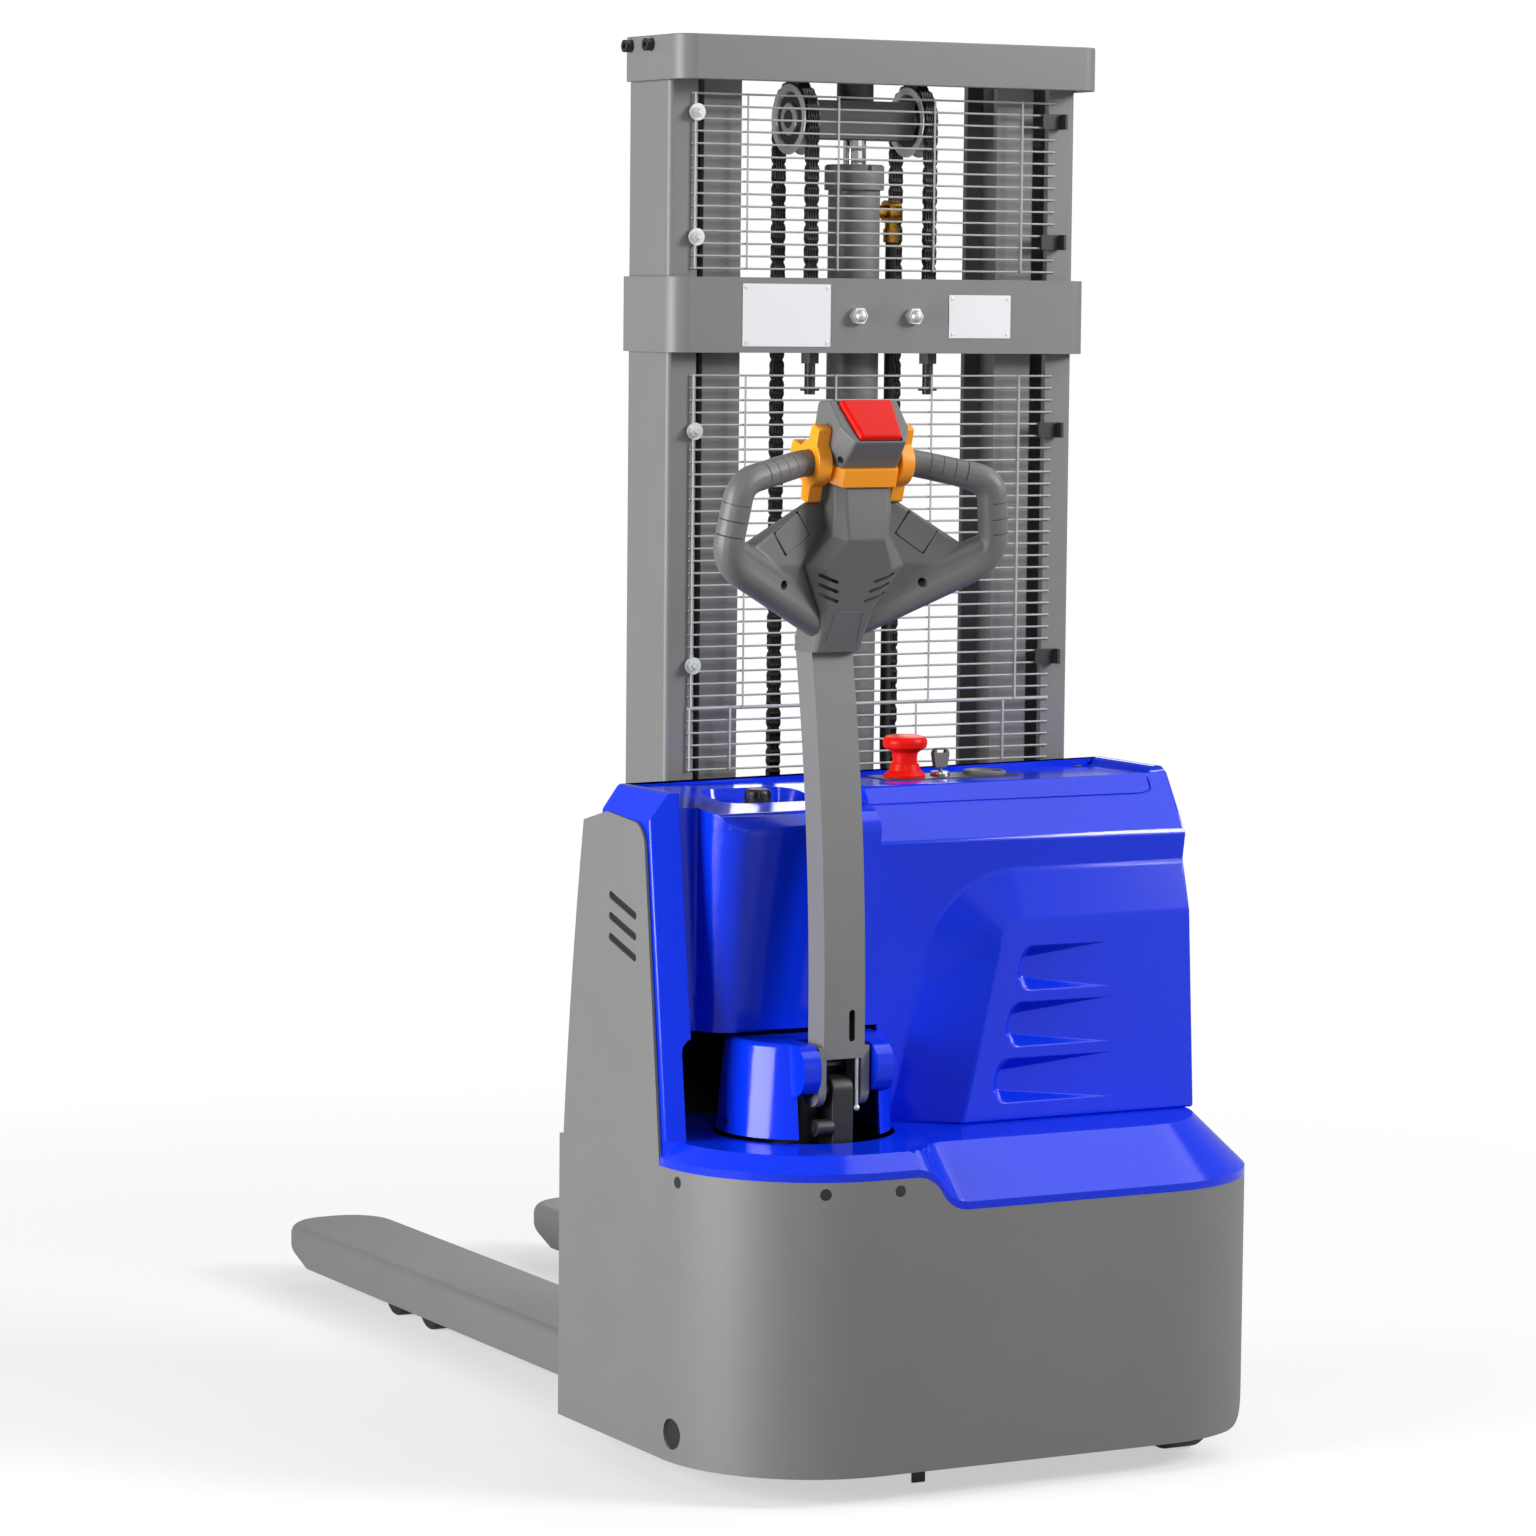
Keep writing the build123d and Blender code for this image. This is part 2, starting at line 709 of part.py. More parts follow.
def box_wires(inset, sink):
    """The raised box on the cover's right: its front outline and the wider one on the panel behind it."""
    right = COVER_RIGHT - inset
    foot = -inset
    head = (BOX_HEAD_Z - LEDGE_TOP - inset) * math.hypot(1, box_lean())
    back = (BOX_BACK_Z - LEDGE_TOP - inset) * math.hypot(1, panel_lean())
    left, shoulder = BOX_LEFT + inset, BOX_SHOULDER_X + inset
    front = rounded([(left, foot), (right, foot), (right, head), (shoulder, head)], [0, 0, 0, BOX_ROUND])
    rear = rounded([(left - BOX_SPREAD, foot), (right, foot), (right, back), (shoulder - BOX_BACK_SPREAD, back)],
                   [0, 0, 0, BOX_BACK_ROUND])
    near = leaning_plane(BOX_FOOT_Y + inset, box_lean())
    far = leaning_plane(PANEL_FOOT_Y + sink, panel_lean())
    return near * front, far * rear


def cover_volume(inset):
    """The main cover as a block; an inset one is the hollow inside it."""
    low = LEDGE_TOP - (PASS if inset else 0)
    back = COVER_REAR + (PASS if inset else 0)
    foot = FRONT + PANEL_FOOT_Y + (low - LEDGE_TOP) * panel_lean() + inset
    left, right = COVER_LEFT + inset, COVER_RIGHT - inset
    top = COVER_TOP - inset
    body = block((left, right), (FRONT + BACK_FACE_Y + inset, back), (low, top))
    corner = PANEL_ROUND - inset
    plan = rounded([(PANEL_LEFT + inset, foot), (right, foot), (right, back), (PANEL_LEFT + inset, back)],
                   [corner, 0, 0, 0])
    panel = leaning_prism(plan, (low, top), (top - low) * panel_lean())
    body += panel & block((-HALF, HALF), (FRONT, back), (low, top))
    body += pillar(inset, (low, top)) & block((-HALF, HALF), (FRONT, back), (low, top))
    return body - head_cuts(inset)


def head_cuts(inset):
    """What slants off the cover's top: the strip on the right, the shelf's edge, the left chamfer."""
    sky = COVER_TOP + PASS
    front = FRONT
    strip = polygon((FRONT + PANEL_HEAD_Y + inset, PANEL_HEAD_Z), (FRONT + STRIP_BACK_Y + inset, COVER_TOP),
                    (FRONT + STRIP_BACK_Y + inset, sky), (front, sky), (front, PANEL_HEAD_Z))
    brow = FRONT + PANEL_HEAD_Y + inset
    shelf_z = SHELF_FRONT_Z - inset
    shelf = polygon((brow - SHELF_BEVEL, shelf_z - 2 * SHELF_BEVEL), (brow + SHELF_BEVEL, shelf_z),
                    (COVER_REAR + 2 * PASS, COVER_TOP - inset), (COVER_REAR + 2 * PASS, sky),
                    (front, sky), (front, shelf_z - 2 * SHELF_BEVEL))
    chamfer = polygon((COVER_LEFT + inset, COVER_TOP - TOP_CHAMFER_Z), (COVER_LEFT + TOP_CHAMFER_X + inset, COVER_TOP),
                      (COVER_LEFT + TOP_CHAMFER_X, sky), (-HALF - PASS, sky), (-HALF - PASS, COVER_TOP - TOP_CHAMFER_Z))
    cuts = side_prism(strip, (HEAD_SPLIT_X - inset, HALF))
    cuts += side_prism(shelf, (PILLAR_RIGHT - inset, HEAD_SPLIT_X + inset))
    cuts += front_prism(chamfer, (FRONT, COVER_REAR + 2 * PASS))
    return cuts


def louvres():
    """Three pockets with slanted walls in the box's front, deep on the left and fading to the right."""
    near = leaning_plane(BOX_FOOT_Y, box_lean())
    slant = (BOX_SHOULDER_X - BOX_LEFT) / (BOX_HEAD_Z - LEDGE_TOP)
    draft = LOUVRE_DEPTH * math.tan(math.radians(LOUVRE_TAPER))
    pockets = []
    for row in range(LOUVRE_COUNT):
        low = LOUVRE_Z - LEDGE_TOP + row * LOUVRE_PITCH + draft
        high = low + LOUVRE_HEIGHT - 2 * draft
        left = BOX_LEFT + LOUVRE_MARGIN + draft
        floor = rounded([(left + low * slant, low), (LOUVRE_RIGHT, low), (LOUVRE_RIGHT, high),
                         (left + high * slant, high)], [LOUVRE_ROUND, 0, 0, LOUVRE_ROUND])
        pocket = Pos(0, 0, -LOUVRE_DEPTH) * extrude(floor, amount=2 * LOUVRE_DEPTH, taper=-LOUVRE_TAPER)
        wedge = polygon((BOX_LEFT, -LOUVRE_DEPTH), (left + low * slant, -LOUVRE_DEPTH), (LOUVRE_RIGHT, 0),
                        (LOUVRE_RIGHT, LOUVRE_DEPTH), (BOX_LEFT, LOUVRE_DEPTH))
        ramp = Pos(0, high + 2 * draft, 0) * extrude(FACE * wedge, amount=high - low + 4 * draft)
        pockets.append(near.location * (pocket & ramp))
    return pockets


def dish():
    """The sunk tray for the charging socket."""
    outline = RectangleRounded(DISH_LENGTH, DISH_WIDTH, DISH_ROUND)
    place = Pos(DISH_X, FRONT + DISH_Y, COVER_TOP - DISH_DEPTH)
    return place * extrude(outline, amount=DISH_DEPTH + PASS, taper=-HEAD_LEAN)


def main_cover():
    outer = cover_volume(0) + loft(list(box_wires(0, COVER_WALL / 2)), ruled=True)
    outer += front_rim()
    hollow = cover_volume(COVER_WALL)
    hollow += loft(list(box_wires(COVER_WALL + LOUVRE_DEPTH, COVER_WALL + PASS)), ruled=True)
    tray = Pos(DISH_X, FRONT + DISH_Y, COVER_TOP - (DISH_DEPTH + COVER_WALL)) * extrude(
        RectangleRounded(DISH_LENGTH, DISH_WIDTH, DISH_ROUND), amount=DISH_DEPTH + COVER_WALL, taper=-HEAD_LEAN)
    shell = outer - (hollow - tray)
    shell -= dish()
    for pocket in louvres():
        shell -= pocket
    mouth = rounded([(CAVITY_LEFT, LEDGE_TOP - CAVITY_ROUND * 2), (CAVITY_RIGHT, LEDGE_TOP - CAVITY_ROUND * 2),
                     (CAVITY_RIGHT, CAVITY_TOP), (CAVITY_LEFT, CAVITY_TOP)],
                    [0, 0, 0, CAVITY_ROUND])
    shell -= front_prism(mouth, (FRONT, COVER_REAR))
    shell -= turntable_recess()
    for x, radius in ((STOP_X, STOP_STEM_R + SLIP), (KEY_X, LOCK_BODY_R), (GAUGE_X, GAUGE_BODY_R)):
        shell -= rod_z(x, CONTROL_ROW, (COVER_TOP - 2 * PASS, COVER_TOP + PASS), radius)
    return shell


def front_rim():
    """The raised rim along the cover's right top edge."""
    low = FRONT + STRIP_BACK_Y
    sketch = polygon((COVER_RIGHT - RIM_WIDTH, COVER_TOP), (COVER_RIGHT, COVER_TOP),
                     (COVER_RIGHT - RIM_HEIGHT, COVER_TOP + RIM_HEIGHT),
                     (COVER_RIGHT - RIM_WIDTH + RIM_HEIGHT / 2, COVER_TOP + RIM_HEIGHT))
    return front_prism(sketch, (low, COVER_REAR))


# Controls on the cover

def stop_base():
    disc = rod_z(STOP_X, CONTROL_ROW, (COVER_TOP, COVER_TOP + STOP_BASE_H), STOP_BASE_R)
    body = rod_z(STOP_X, CONTROL_ROW, (COVER_TOP - STOP_BODY_H, COVER_TOP - COVER_WALL), STOP_BASE_R)
    bore = rod_z(STOP_X, CONTROL_ROW, (COVER_TOP - STOP_BODY_H + COVER_WALL, COVER_TOP + PASS), STOP_STEM_R + RUN)
    return disc - bore, body - bore


def stop_button():
    base = COVER_TOP + STOP_BASE_H + STOP_RISE
    stem = rod_z(STOP_X, CONTROL_ROW, (COVER_TOP - STOP_BODY_H / 2, base), STOP_STEM_R)
    head = rod_z(STOP_X, CONTROL_ROW, (base, base + STOP_HEAD_H), STOP_HEAD_R)
    head = fillet(head.edges().filter_by(GeomType.CIRCLE), STOP_HEAD_H * 0.42)
    return stem + head


def key_lock():
    collar = rod_z(KEY_X, CONTROL_ROW, (COVER_TOP, COVER_TOP + LOCK_H), LOCK_R)
    collar = chamfer(collar.edges().group_by(Axis.Z)[-1], LOCK_H / 4)
    barrel = rod_z(KEY_X, CONTROL_ROW, (COVER_TOP - LOCK_BODY_H, COVER_TOP), LOCK_BODY_R)
    bore = rod_z(KEY_X, CONTROL_ROW, (COVER_TOP - KEY_SHAFT_H, COVER_TOP + PASS), KEY_SHAFT_R + RUN)
    return collar + barrel - bore


def key():
    low = COVER_TOP + LOCK_H
    shaft = rod_z(KEY_X, CONTROL_ROW, (low - KEY_SHAFT_H, low + KEY_HEAD_LIFT), KEY_SHAFT_R)
    bottom = low + KEY_HEAD_LIFT
    head = rounded([(KEY_X - KEY_HEAD_W / 3, bottom), (KEY_X + KEY_HEAD_W / 3, bottom),
                    (KEY_X + KEY_HEAD_W / 2, bottom + KEY_HEAD_H), (KEY_X - KEY_HEAD_W / 2, bottom + KEY_HEAD_H)],
                   [KEY_HEAD_T / 3, KEY_HEAD_T / 3, KEY_HEAD_T, KEY_HEAD_T])
    grip = front_prism(head, (CONTROL_ROW - KEY_HEAD_T / 2, CONTROL_ROW + KEY_HEAD_T / 2))
    eye = block((KEY_X - KEY_HEAD_W / 4, KEY_X + KEY_HEAD_W / 4), (CONTROL_ROW - KEY_HEAD_T, CONTROL_ROW + KEY_HEAD_T),
                (bottom + KEY_HEAD_H * 0.74, bottom + KEY_HEAD_H * 0.9))
    return shaft + grip - eye


def battery_gauge():
    ring = rod_z(GAUGE_X, CONTROL_ROW, (COVER_TOP, COVER_TOP + GAUGE_H), GAUGE_R)
    ring = fillet(ring.edges().group_by(Axis.Z)[-1], GAUGE_H / 3)
    well = rod_z(GAUGE_X, CONTROL_ROW, (COVER_TOP + GAUGE_H / 2, COVER_TOP + PASS), GAUGE_R - GAUGE_H)
    return ring - well + rod_z(GAUGE_X, CONTROL_ROW, (COVER_TOP - GAUGE_BODY_H, COVER_TOP), GAUGE_BODY_R)


def charge_socket():
    floor = COVER_TOP - DISH_DEPTH
    place = FRONT + DISH_Y
    flange = rod_z(DISH_X, place, (floor, floor + SOCKET_H / 2), SOCKET_R)
    cap = rod_z(DISH_X, place, (floor + SOCKET_H / 2, floor + SOCKET_H / 2 + SOCKET_CAP_H), SOCKET_CAP_R)
    cap = fillet(cap.edges().group_by(Axis.Z)[-1], SOCKET_CAP_H / 3)
    for lobe in range(SOCKET_LOBES):
        turn = 2 * math.pi * lobe / SOCKET_LOBES
        x = DISH_X + SOCKET_CAP_R * math.cos(turn)
        y = place + SOCKET_CAP_R * math.sin(turn)
        cap -= rod_z(x, y, (floor + SOCKET_H, floor + SOCKET_H + SOCKET_CAP_H), SOCKET_CAP_R / 4)
    return flange + cap


# Base frame and inner units

def base_frame():
    deck = plan_prism(plan_outline(SKIRT_T + SEAT, COVER_REAR), (DECK_Z, DECK_Z + DECK_T))
    deck &= block((-HALF, FRAME_SPLIT_X), (FRONT, COVER_REAR), (DECK_Z, DECK_Z + DECK_T))
    deck -= rod_z(STEER_X, STEER_Y, (DECK_Z, DECK_Z + DECK_T), RING_R + SEAT)
    tray = plan_prism(plan_outline(SKIRT_T + SEAT, COVER_REAR), (TRAY_Z, TRAY_Z + TRAY_T))
    tray &= block((FRAME_SPLIT_X - TRAY_T, HALF), (FRONT, COVER_REAR), (TRAY_Z, TRAY_Z + TRAY_T))
    web = block((FRAME_SPLIT_X - TRAY_T, FRAME_SPLIT_X), (FRONT + SKIRT_T + SEAT, COVER_REAR),
                (TRAY_Z, DECK_Z + DECK_T))
    bulkhead = block((-MAST_HALF, MAST_HALF), (COVER_REAR, BULKHEAD_Y), (BULKHEAD_FOOT, BULKHEAD_TOP))
    inside = HALF - SKIRT_T - SEAT
    bulkhead += block((-inside, inside), (COVER_REAR, BULKHEAD_Y), (DECK_Z, SKIRT_LOW_TOP))
    bulkhead += block((-inside, COVER_RIGHT), (COVER_REAR, BULKHEAD_Y), (SKIRT_LOW_TOP, BACK_PANEL_TOP))
    bulkhead -= rod_y(hose_x(), (COVER_REAR - PASS, BULKHEAD_Y + PASS), HOSE_TURN_Z, HOSE_R + SEAT)
    foot = block((-MAST_HALF, MAST_HALF), (COVER_REAR, MAST_BACK), (FOOT_Z, FOOT_TOP))
    strap = block((STRAP_X - STRAP_WIDTH / 2, STRAP_X + STRAP_WIDTH / 2),
                  (FRONT + STRAP_Y, FRONT + STRAP_Y + SKIRT_T), (STRAP_BOTTOM, DECK_Z))
    frame = deck + tray + web + bulkhead + foot + strap
    return frame - rod_z(CASTER_X, FRONT + CASTER_SETBACK, (TRAY_Z - PASS, TRAY_Z + TRAY_T), CASTER_STEM_R + RUN)


def battery():
    wide = (BATTERY_RIGHT - BATTERY_LEFT - BATTERY_GAP) / 2
    low = FRONT + BATTERY_Y
    floor = TRAY_Z + TRAY_T
    blocks = []
    for x in (BATTERY_LEFT, BATTERY_RIGHT - wide):
        case = block((x, x + wide), (low, low + BATTERY_DEPTH), (floor, floor + BATTERY_HEIGHT))
        blocks.append(fillet(case.edges().filter_by(Axis.Z), BATTERY_GAP))
    return blocks


def power_pack():
    wide, deep, tall = TANK_SIZE
    low = LEDGE_TOP
    rear = COVER_REAR
    tank = block((TANK_X - wide / 2, TANK_X + wide / 2), (rear - deep, rear), (low, low + tall))
    tank = fillet(tank.edges().filter_by(Axis.Z), PASS)
    high = low + tall
    manifold = block((TANK_X - wide / 2, PUMP_X + PUMP_R), (rear - deep, rear), (high, high + MANIFOLD_H))
    pump = rod_z(PUMP_X, rear - deep / 2, (high - PUMP_HEIGHT, high), PUMP_R)
    port = block((hose_x() - PUMP_R / 2, hose_x() + PUMP_R / 2), (rear - deep, rear),
                 (high + MANIFOLD_H, HOSE_TURN_Z + 2 * PASS))
    return tank + manifold + pump + port


def controller():
    wide, deep, tall = CONTROLLER_SIZE
    return block((CONTROLLER_X - wide / 2, CONTROLLER_X + wide / 2), (COVER_REAR - deep, COVER_REAR),
                 (CONTROLLER_Z, CONTROLLER_Z + tall))


# Mast

def outer_channel():
    """The right outer channel, open towards the middle."""
    outer = rounded([(MAST_HALF - CHANNEL_FLANGE, MAST_Y), (MAST_HALF, MAST_Y), (MAST_HALF, MAST_BACK),
                     (MAST_HALF - CHANNEL_FLANGE, MAST_BACK)], [0, CHANNEL_ROUND, CHANNEL_ROUND, 0])
    inner = polygon((MAST_HALF - CHANNEL_FLANGE, MAST_Y + CHANNEL_T), (MAST_HALF - CHANNEL_WEB, MAST_Y + CHANNEL_T),
                    (MAST_HALF - CHANNEL_WEB, MAST_BACK - CHANNEL_T),
                    (MAST_HALF - CHANNEL_FLANGE, MAST_BACK - CHANNEL_T))
    channel = plan_prism(outer - inner, (FOOT_TOP, MAST_TOP - SKIRT_T))
    return channel + rod_x((BEAM_WEB_X + BEAM_WEB, MAST_HALF - CHANNEL_WEB / 2), MAST_MID, TOP_ROLLER_Z, ROLLER_AXLE_R)


def wrap_plate(setback, depth, thick, z):
    """A plate bent round the front of both outer channels."""
    front, back = FRONT + setback, FRONT + setback + depth
    outside = MAST_HALF + thick
    outer = rounded([(-outside, front), (outside, front), (outside, back), (-outside, back)],
                    [BEAM_BEND, BEAM_BEND, 0, 0])
    inner = rounded([(-MAST_HALF, front + thick), (MAST_HALF, front + thick), (MAST_HALF, back), (-MAST_HALF, back)],
                    [BEAM_BEND - thick, BEAM_BEND - thick, 0, 0])
    return plan_prism(outer - inner, z)


def top_crossbeam():
    return wrap_plate(TOP_BEAM_SETBACK, TOP_BEAM_DEPTH, TOP_BEAM_T, (MAST_TOP - TOP_BEAM_HEIGHT, MAST_TOP))


def middle_crossplate():
    plate = wrap_plate(PLATE_SETBACK, PLATE_DEPTH, PLATE_T, (PLATE_BOTTOM, PLATE_BOTTOM + PLATE_HEIGHT))
    front = MAST_MID - CHAIN_R
    for side in (-1, 1):
        x = side * CHAIN_X
        lug = block((x - ANCHOR_LUG_HALF, x + ANCHOR_LUG_HALF), (PLATE_Y + PLATE_T, front + ANCHOR_LUG_HALF),
                    (PLATE_BOTTOM, PLATE_BOTTOM + ANCHOR_LUG_H))
        plate += lug - rod_z(x, front, (PLATE_BOTTOM, PLATE_BOTTOM + ANCHOR_LUG_H), ANCHOR_ROD_R + RUN)
        plate -= rod_y(side * clamp_x(), (PLATE_Y, PLATE_Y + PLATE_T), CLAMP_Z, CLAMP_R + RUN)
    return plate


def clamp_x():
    """Half the width of the clamp round the cylinder."""
    return BARREL_R + SEAT + CLAMP_R


def cylinder_clamp():
    """A bent rod round the cylinder, with a domed nut on each end."""
    reach = clamp_x()
    nose = PLATE_Y - NUT_H
    legs = [rod_y(side * reach, (nose, MAST_MID), CLAMP_Z, CLAMP_R) for side in (-1, 1)]
    bow = Pos(0, MAST_MID, CLAMP_Z) * Torus(reach, CLAMP_R)
    bow &= block((-2 * reach, 2 * reach), (MAST_MID, MAST_MID + 2 * reach), (CLAMP_Z - PASS, CLAMP_Z + PASS))
    hoop = legs[0] + bow + legs[1]
    for side in (-1, 1):
        nut = front_prism(Pos(side * reach, CLAMP_Z) * hexagon(NUT_R), (nose, PLATE_Y))
        dome = Pos(side * reach, nose, CLAMP_Z) * Sphere(NUT_R * 0.72)
        hoop += nut + dome
    return hoop


def data_plates():
    plates = []
    for x, (wide, tall) in ((LEFT_LABEL_X, LEFT_LABEL_SIZE), (RIGHT_LABEL_X, RIGHT_LABEL_SIZE)):
        z = PLATE_BOTTOM + PLATE_HEIGHT / 2
        plates.append(block((x - wide / 2, x + wide / 2), (PLATE_Y - LABEL_T, PLATE_Y), (z - tall / 2, z + tall / 2)))
    return plates


def chain_anchors():
    anchors = []
    for side in (-1, 1):
        x, y = side * CHAIN_X, MAST_MID - CHAIN_R
        rod = rod_z(x, y, (ANCHOR_ROD_LOW, PLATE_BOTTOM + ANCHOR_LUG_H), ANCHOR_ROD_R)
        nut = plan_prism(Pos(x, y) * hexagon(ANCHOR_NUT_R), (PLATE_BOTTOM - ANCHOR_NUT_H, PLATE_BOTTOM))
        eye = block((x - CHAIN_WIDTH / 2, x + CHAIN_WIDTH / 2), (y - CHAIN_T / 2, y + CHAIN_T / 2),
                    (PLATE_BOTTOM + ANCHOR_LUG_H, anchor_top()))
        pin = rod_x((x - ANCHOR_NUT_R, x + ANCHOR_NUT_R), y, ANCHOR_ROD_LOW + ANCHOR_ROD_R, ANCHOR_ROD_R / 3)
        anchors.append(rod + nut + eye + pin)
    return anchors


def anchor_top():
    """Where the chain is pinned to its anchor."""
    return PLATE_BOTTOM + ANCHOR_LUG_H + ANCHOR_EYE_H


def frame_screws():
    """Socket screws through the top beam's flanges and round-headed screws in the skirt."""
    screws = []
    outside = MAST_HALF + TOP_BEAM_T
    back = FRONT + TOP_BEAM_SETBACK + TOP_BEAM_DEPTH
    for row in range(2):
        y = back - BOLT_INSET - row * BOLT_SPACING
        head = rod_x((outside, outside + BOLT_HEAD_H), y, MAST_TOP - BOLT_DROP, BOLT_HEAD_R)
        head -= front_hex((outside + BOLT_HEAD_H / 2, outside + BOLT_HEAD_H), y, MAST_TOP - BOLT_DROP)
        screws += both_sides(head)
    return screws + skirt_screws(0)


def skirt_screws(gap):
    """Screws along the skirt's top edge; with a gap, the holes for them."""
    z = SKIRT_TOP - SCREW_DROP
    head = screw_head(gap)
    screws = [Pos(SCREW_X, FRONT, z) * head]
    for turn in SCREW_TURNS:
        bend = Pos(-HALF + SKIRT_CORNER, FRONT + SKIRT_CORNER, z) * Rot(0, 0, -turn)
        screws.append(bend * Pos(0, -SKIRT_CORNER, 0) * head)
    return screws


def front_hex(x, y, z):
    """A key socket along X."""
    return side_prism(Pos(y, z) * hexagon(BOLT_HEAD_R / 2), x)


def screw_head(gap):
    """A sunk round head whose front lies on the XZ plane."""
    return rod_y(0, (0, SCREW_H), 0, SCREW_R + gap)


def inner_mast():
    """Two H beams tied at the top and at the foot."""
    outer, inner = INNER_HALF, BEAM_INSIDE
    front, back = MAST_MID - BEAM_DEPTH / 2, MAST_MID + BEAM_DEPTH / 2
    low = FOOT_TOP + SEAT
    z = (low, INNER_TOP)
    beam = block((inner, outer), (front, front + BEAM_T), z) + block((inner, outer), (back - BEAM_T, back), z)
    beam += block((BEAM_WEB_X - BEAM_WEB / 2, BEAM_WEB_X + BEAM_WEB / 2), (front, back), z)
    axle_end = MAST_HALF - CHANNEL_WEB - ROLLER_SIDE
    beam += rod_x((BEAM_WEB_X, axle_end), MAST_MID, INNER_ROLLER_Z, ROLLER_AXLE_R)
    mast = beam + mirror(beam, about=Plane.YZ)
    mast += block((-BEAM_WEB_X, BEAM_WEB_X), (MAST_MID - INNER_TIE_DEPTH / 2, MAST_MID + INNER_TIE_DEPTH / 2),
                  (INNER_TOP - INNER_TIE, INNER_TOP))
    tie = MAST_MID + BARREL_R + CARRIAGE_GAP / 2
    mast += block((-inner, inner), (tie, tie + INNER_FOOT_TIE_T), (low, low + INNER_FOOT_TIE))
    return mast


def guide_roller(x, z, radius):
    """A mast roller on its stub axle."""
    return rod_x(x, MAST_MID, z, radius) - rod_x(x, MAST_MID, z, ROLLER_AXLE_R + RUN)


def inner_mast_rollers():
    x = (MAST_HALF - CHANNEL_FLANGE + ROLLER_SIDE, MAST_HALF - CHANNEL_WEB - ROLLER_SIDE)
    return both_sides(guide_roller(x, INNER_ROLLER_Z, CHANNEL_DEPTH / 2 - CHANNEL_T - SEAT))


def groove_roller_r():
    """The roller that runs in a groove of the H beam."""
    return BEAM_DEPTH / 2 - BEAM_T - SEAT


def top_mast_rollers():
    x = (BEAM_WEB_X + BEAM_WEB, INNER_HALF - ROLLER_SIDE)
    return both_sides(guide_roller(x, TOP_ROLLER_Z, groove_roller_r()))


def carriage_rollers(z):
    x = (BEAM_INSIDE + ROLLER_SIDE, BEAM_WEB_X - BEAM_WEB / 2 - ROLLER_SIDE)
    return both_sides(guide_roller(x, z, groove_roller_r()))


# Cylinder, hose and chains

def cylinder_barrel():
    barrel = rod_z(0, MAST_MID, (FOOT_TOP, BARREL_TOP), BARREL_R)
    return barrel - rod_z(0, MAST_MID, (FOOT_TOP + BARREL_FLOOR, BARREL_TOP), BORE_R)


def cylinder_gland():
    gland = rod_z(0, MAST_MID, (BARREL_TOP, BARREL_TOP + GLAND_H), GLAND_R)
    gland = chamfer(gland.edges().group_by(Axis.Z)[-1], GLAND_R / 16)
    gland -= rod_z(0, MAST_MID, (BARREL_TOP, BARREL_TOP + GLAND_H), ROD_R + RUN)
    notch = GLAND_NOTCH
    for turn in (0, 90):
        slot = Pos(0, MAST_MID, BARREL_TOP + GLAND_H - notch / 2) * Rot(0, 0, turn) * Box(notch, 2 * GLAND_R, notch)
        keep = rod_z(0, MAST_MID, (BARREL_TOP, BARREL_TOP + GLAND_H), GLAND_R - notch / 2)
        gland -= slot - keep
    return gland


def piston_rod():
    rod = rod_z(0, MAST_MID, (PISTON_BOTTOM, CROSSHEAD_LOW), ROD_R)
    return rod + rod_z(0, MAST_MID, (PISTON_BOTTOM, PISTON_BOTTOM + PISTON_H), BORE_R - RUN)


def crosshead():
    """The bar on the piston rod that carries both chain wheels."""
    half = CROSSHEAD_HALF
    bar = block((-half, half), (MAST_MID - CROSSHEAD_DEPTH / 2, MAST_MID + CROSSHEAD_DEPTH / 2),
                (CROSSHEAD_LOW, CROSSHEAD_TOP))
    end = CHAIN_X + CHAIN_WIDTH / 2 + CHAIN_WHEEL_FLANGE + SLIP
    bar += rod_x((-end, end), MAST_MID, CHAIN_WHEEL_Z, CHAIN_AXLE_R)
    return bar + rod_z(0, MAST_MID, (CROSSHEAD_TOP, INNER_TOP - INNER_TIE), CROSSHEAD_BOSS_R)


def chain_wheels():
    inside = CHAIN_X - CHAIN_WIDTH / 2 - SLIP
    outside = CHAIN_X + CHAIN_WIDTH / 2 + SLIP
    wheel = rod_x((inside, outside), MAST_MID, CHAIN_WHEEL_Z, CHAIN_R - CHAIN_T / 2 - SLIP)
    for edge in ((inside - CHAIN_WHEEL_FLANGE, inside), (outside, outside + CHAIN_WHEEL_FLANGE)):
        wheel += rod_x(edge, MAST_MID, CHAIN_WHEEL_Z, CHAIN_WHEEL_R)
    wheel -= rod_x((inside - PASS, outside + PASS), MAST_MID, CHAIN_WHEEL_Z, CHAIN_AXLE_R + RUN)
    return both_sides(wheel)


def chain_strand(side, y, z):
    x = side * CHAIN_X
    return block((x - CHAIN_WIDTH / 2, x + CHAIN_WIDTH / 2), (y - CHAIN_T / 2, y + CHAIN_T / 2), z)


def front_chains():
    return [chain_strand(side, MAST_MID - CHAIN_R, (anchor_top(), CHAIN_WHEEL_Z)) for side in (-1, 1)]


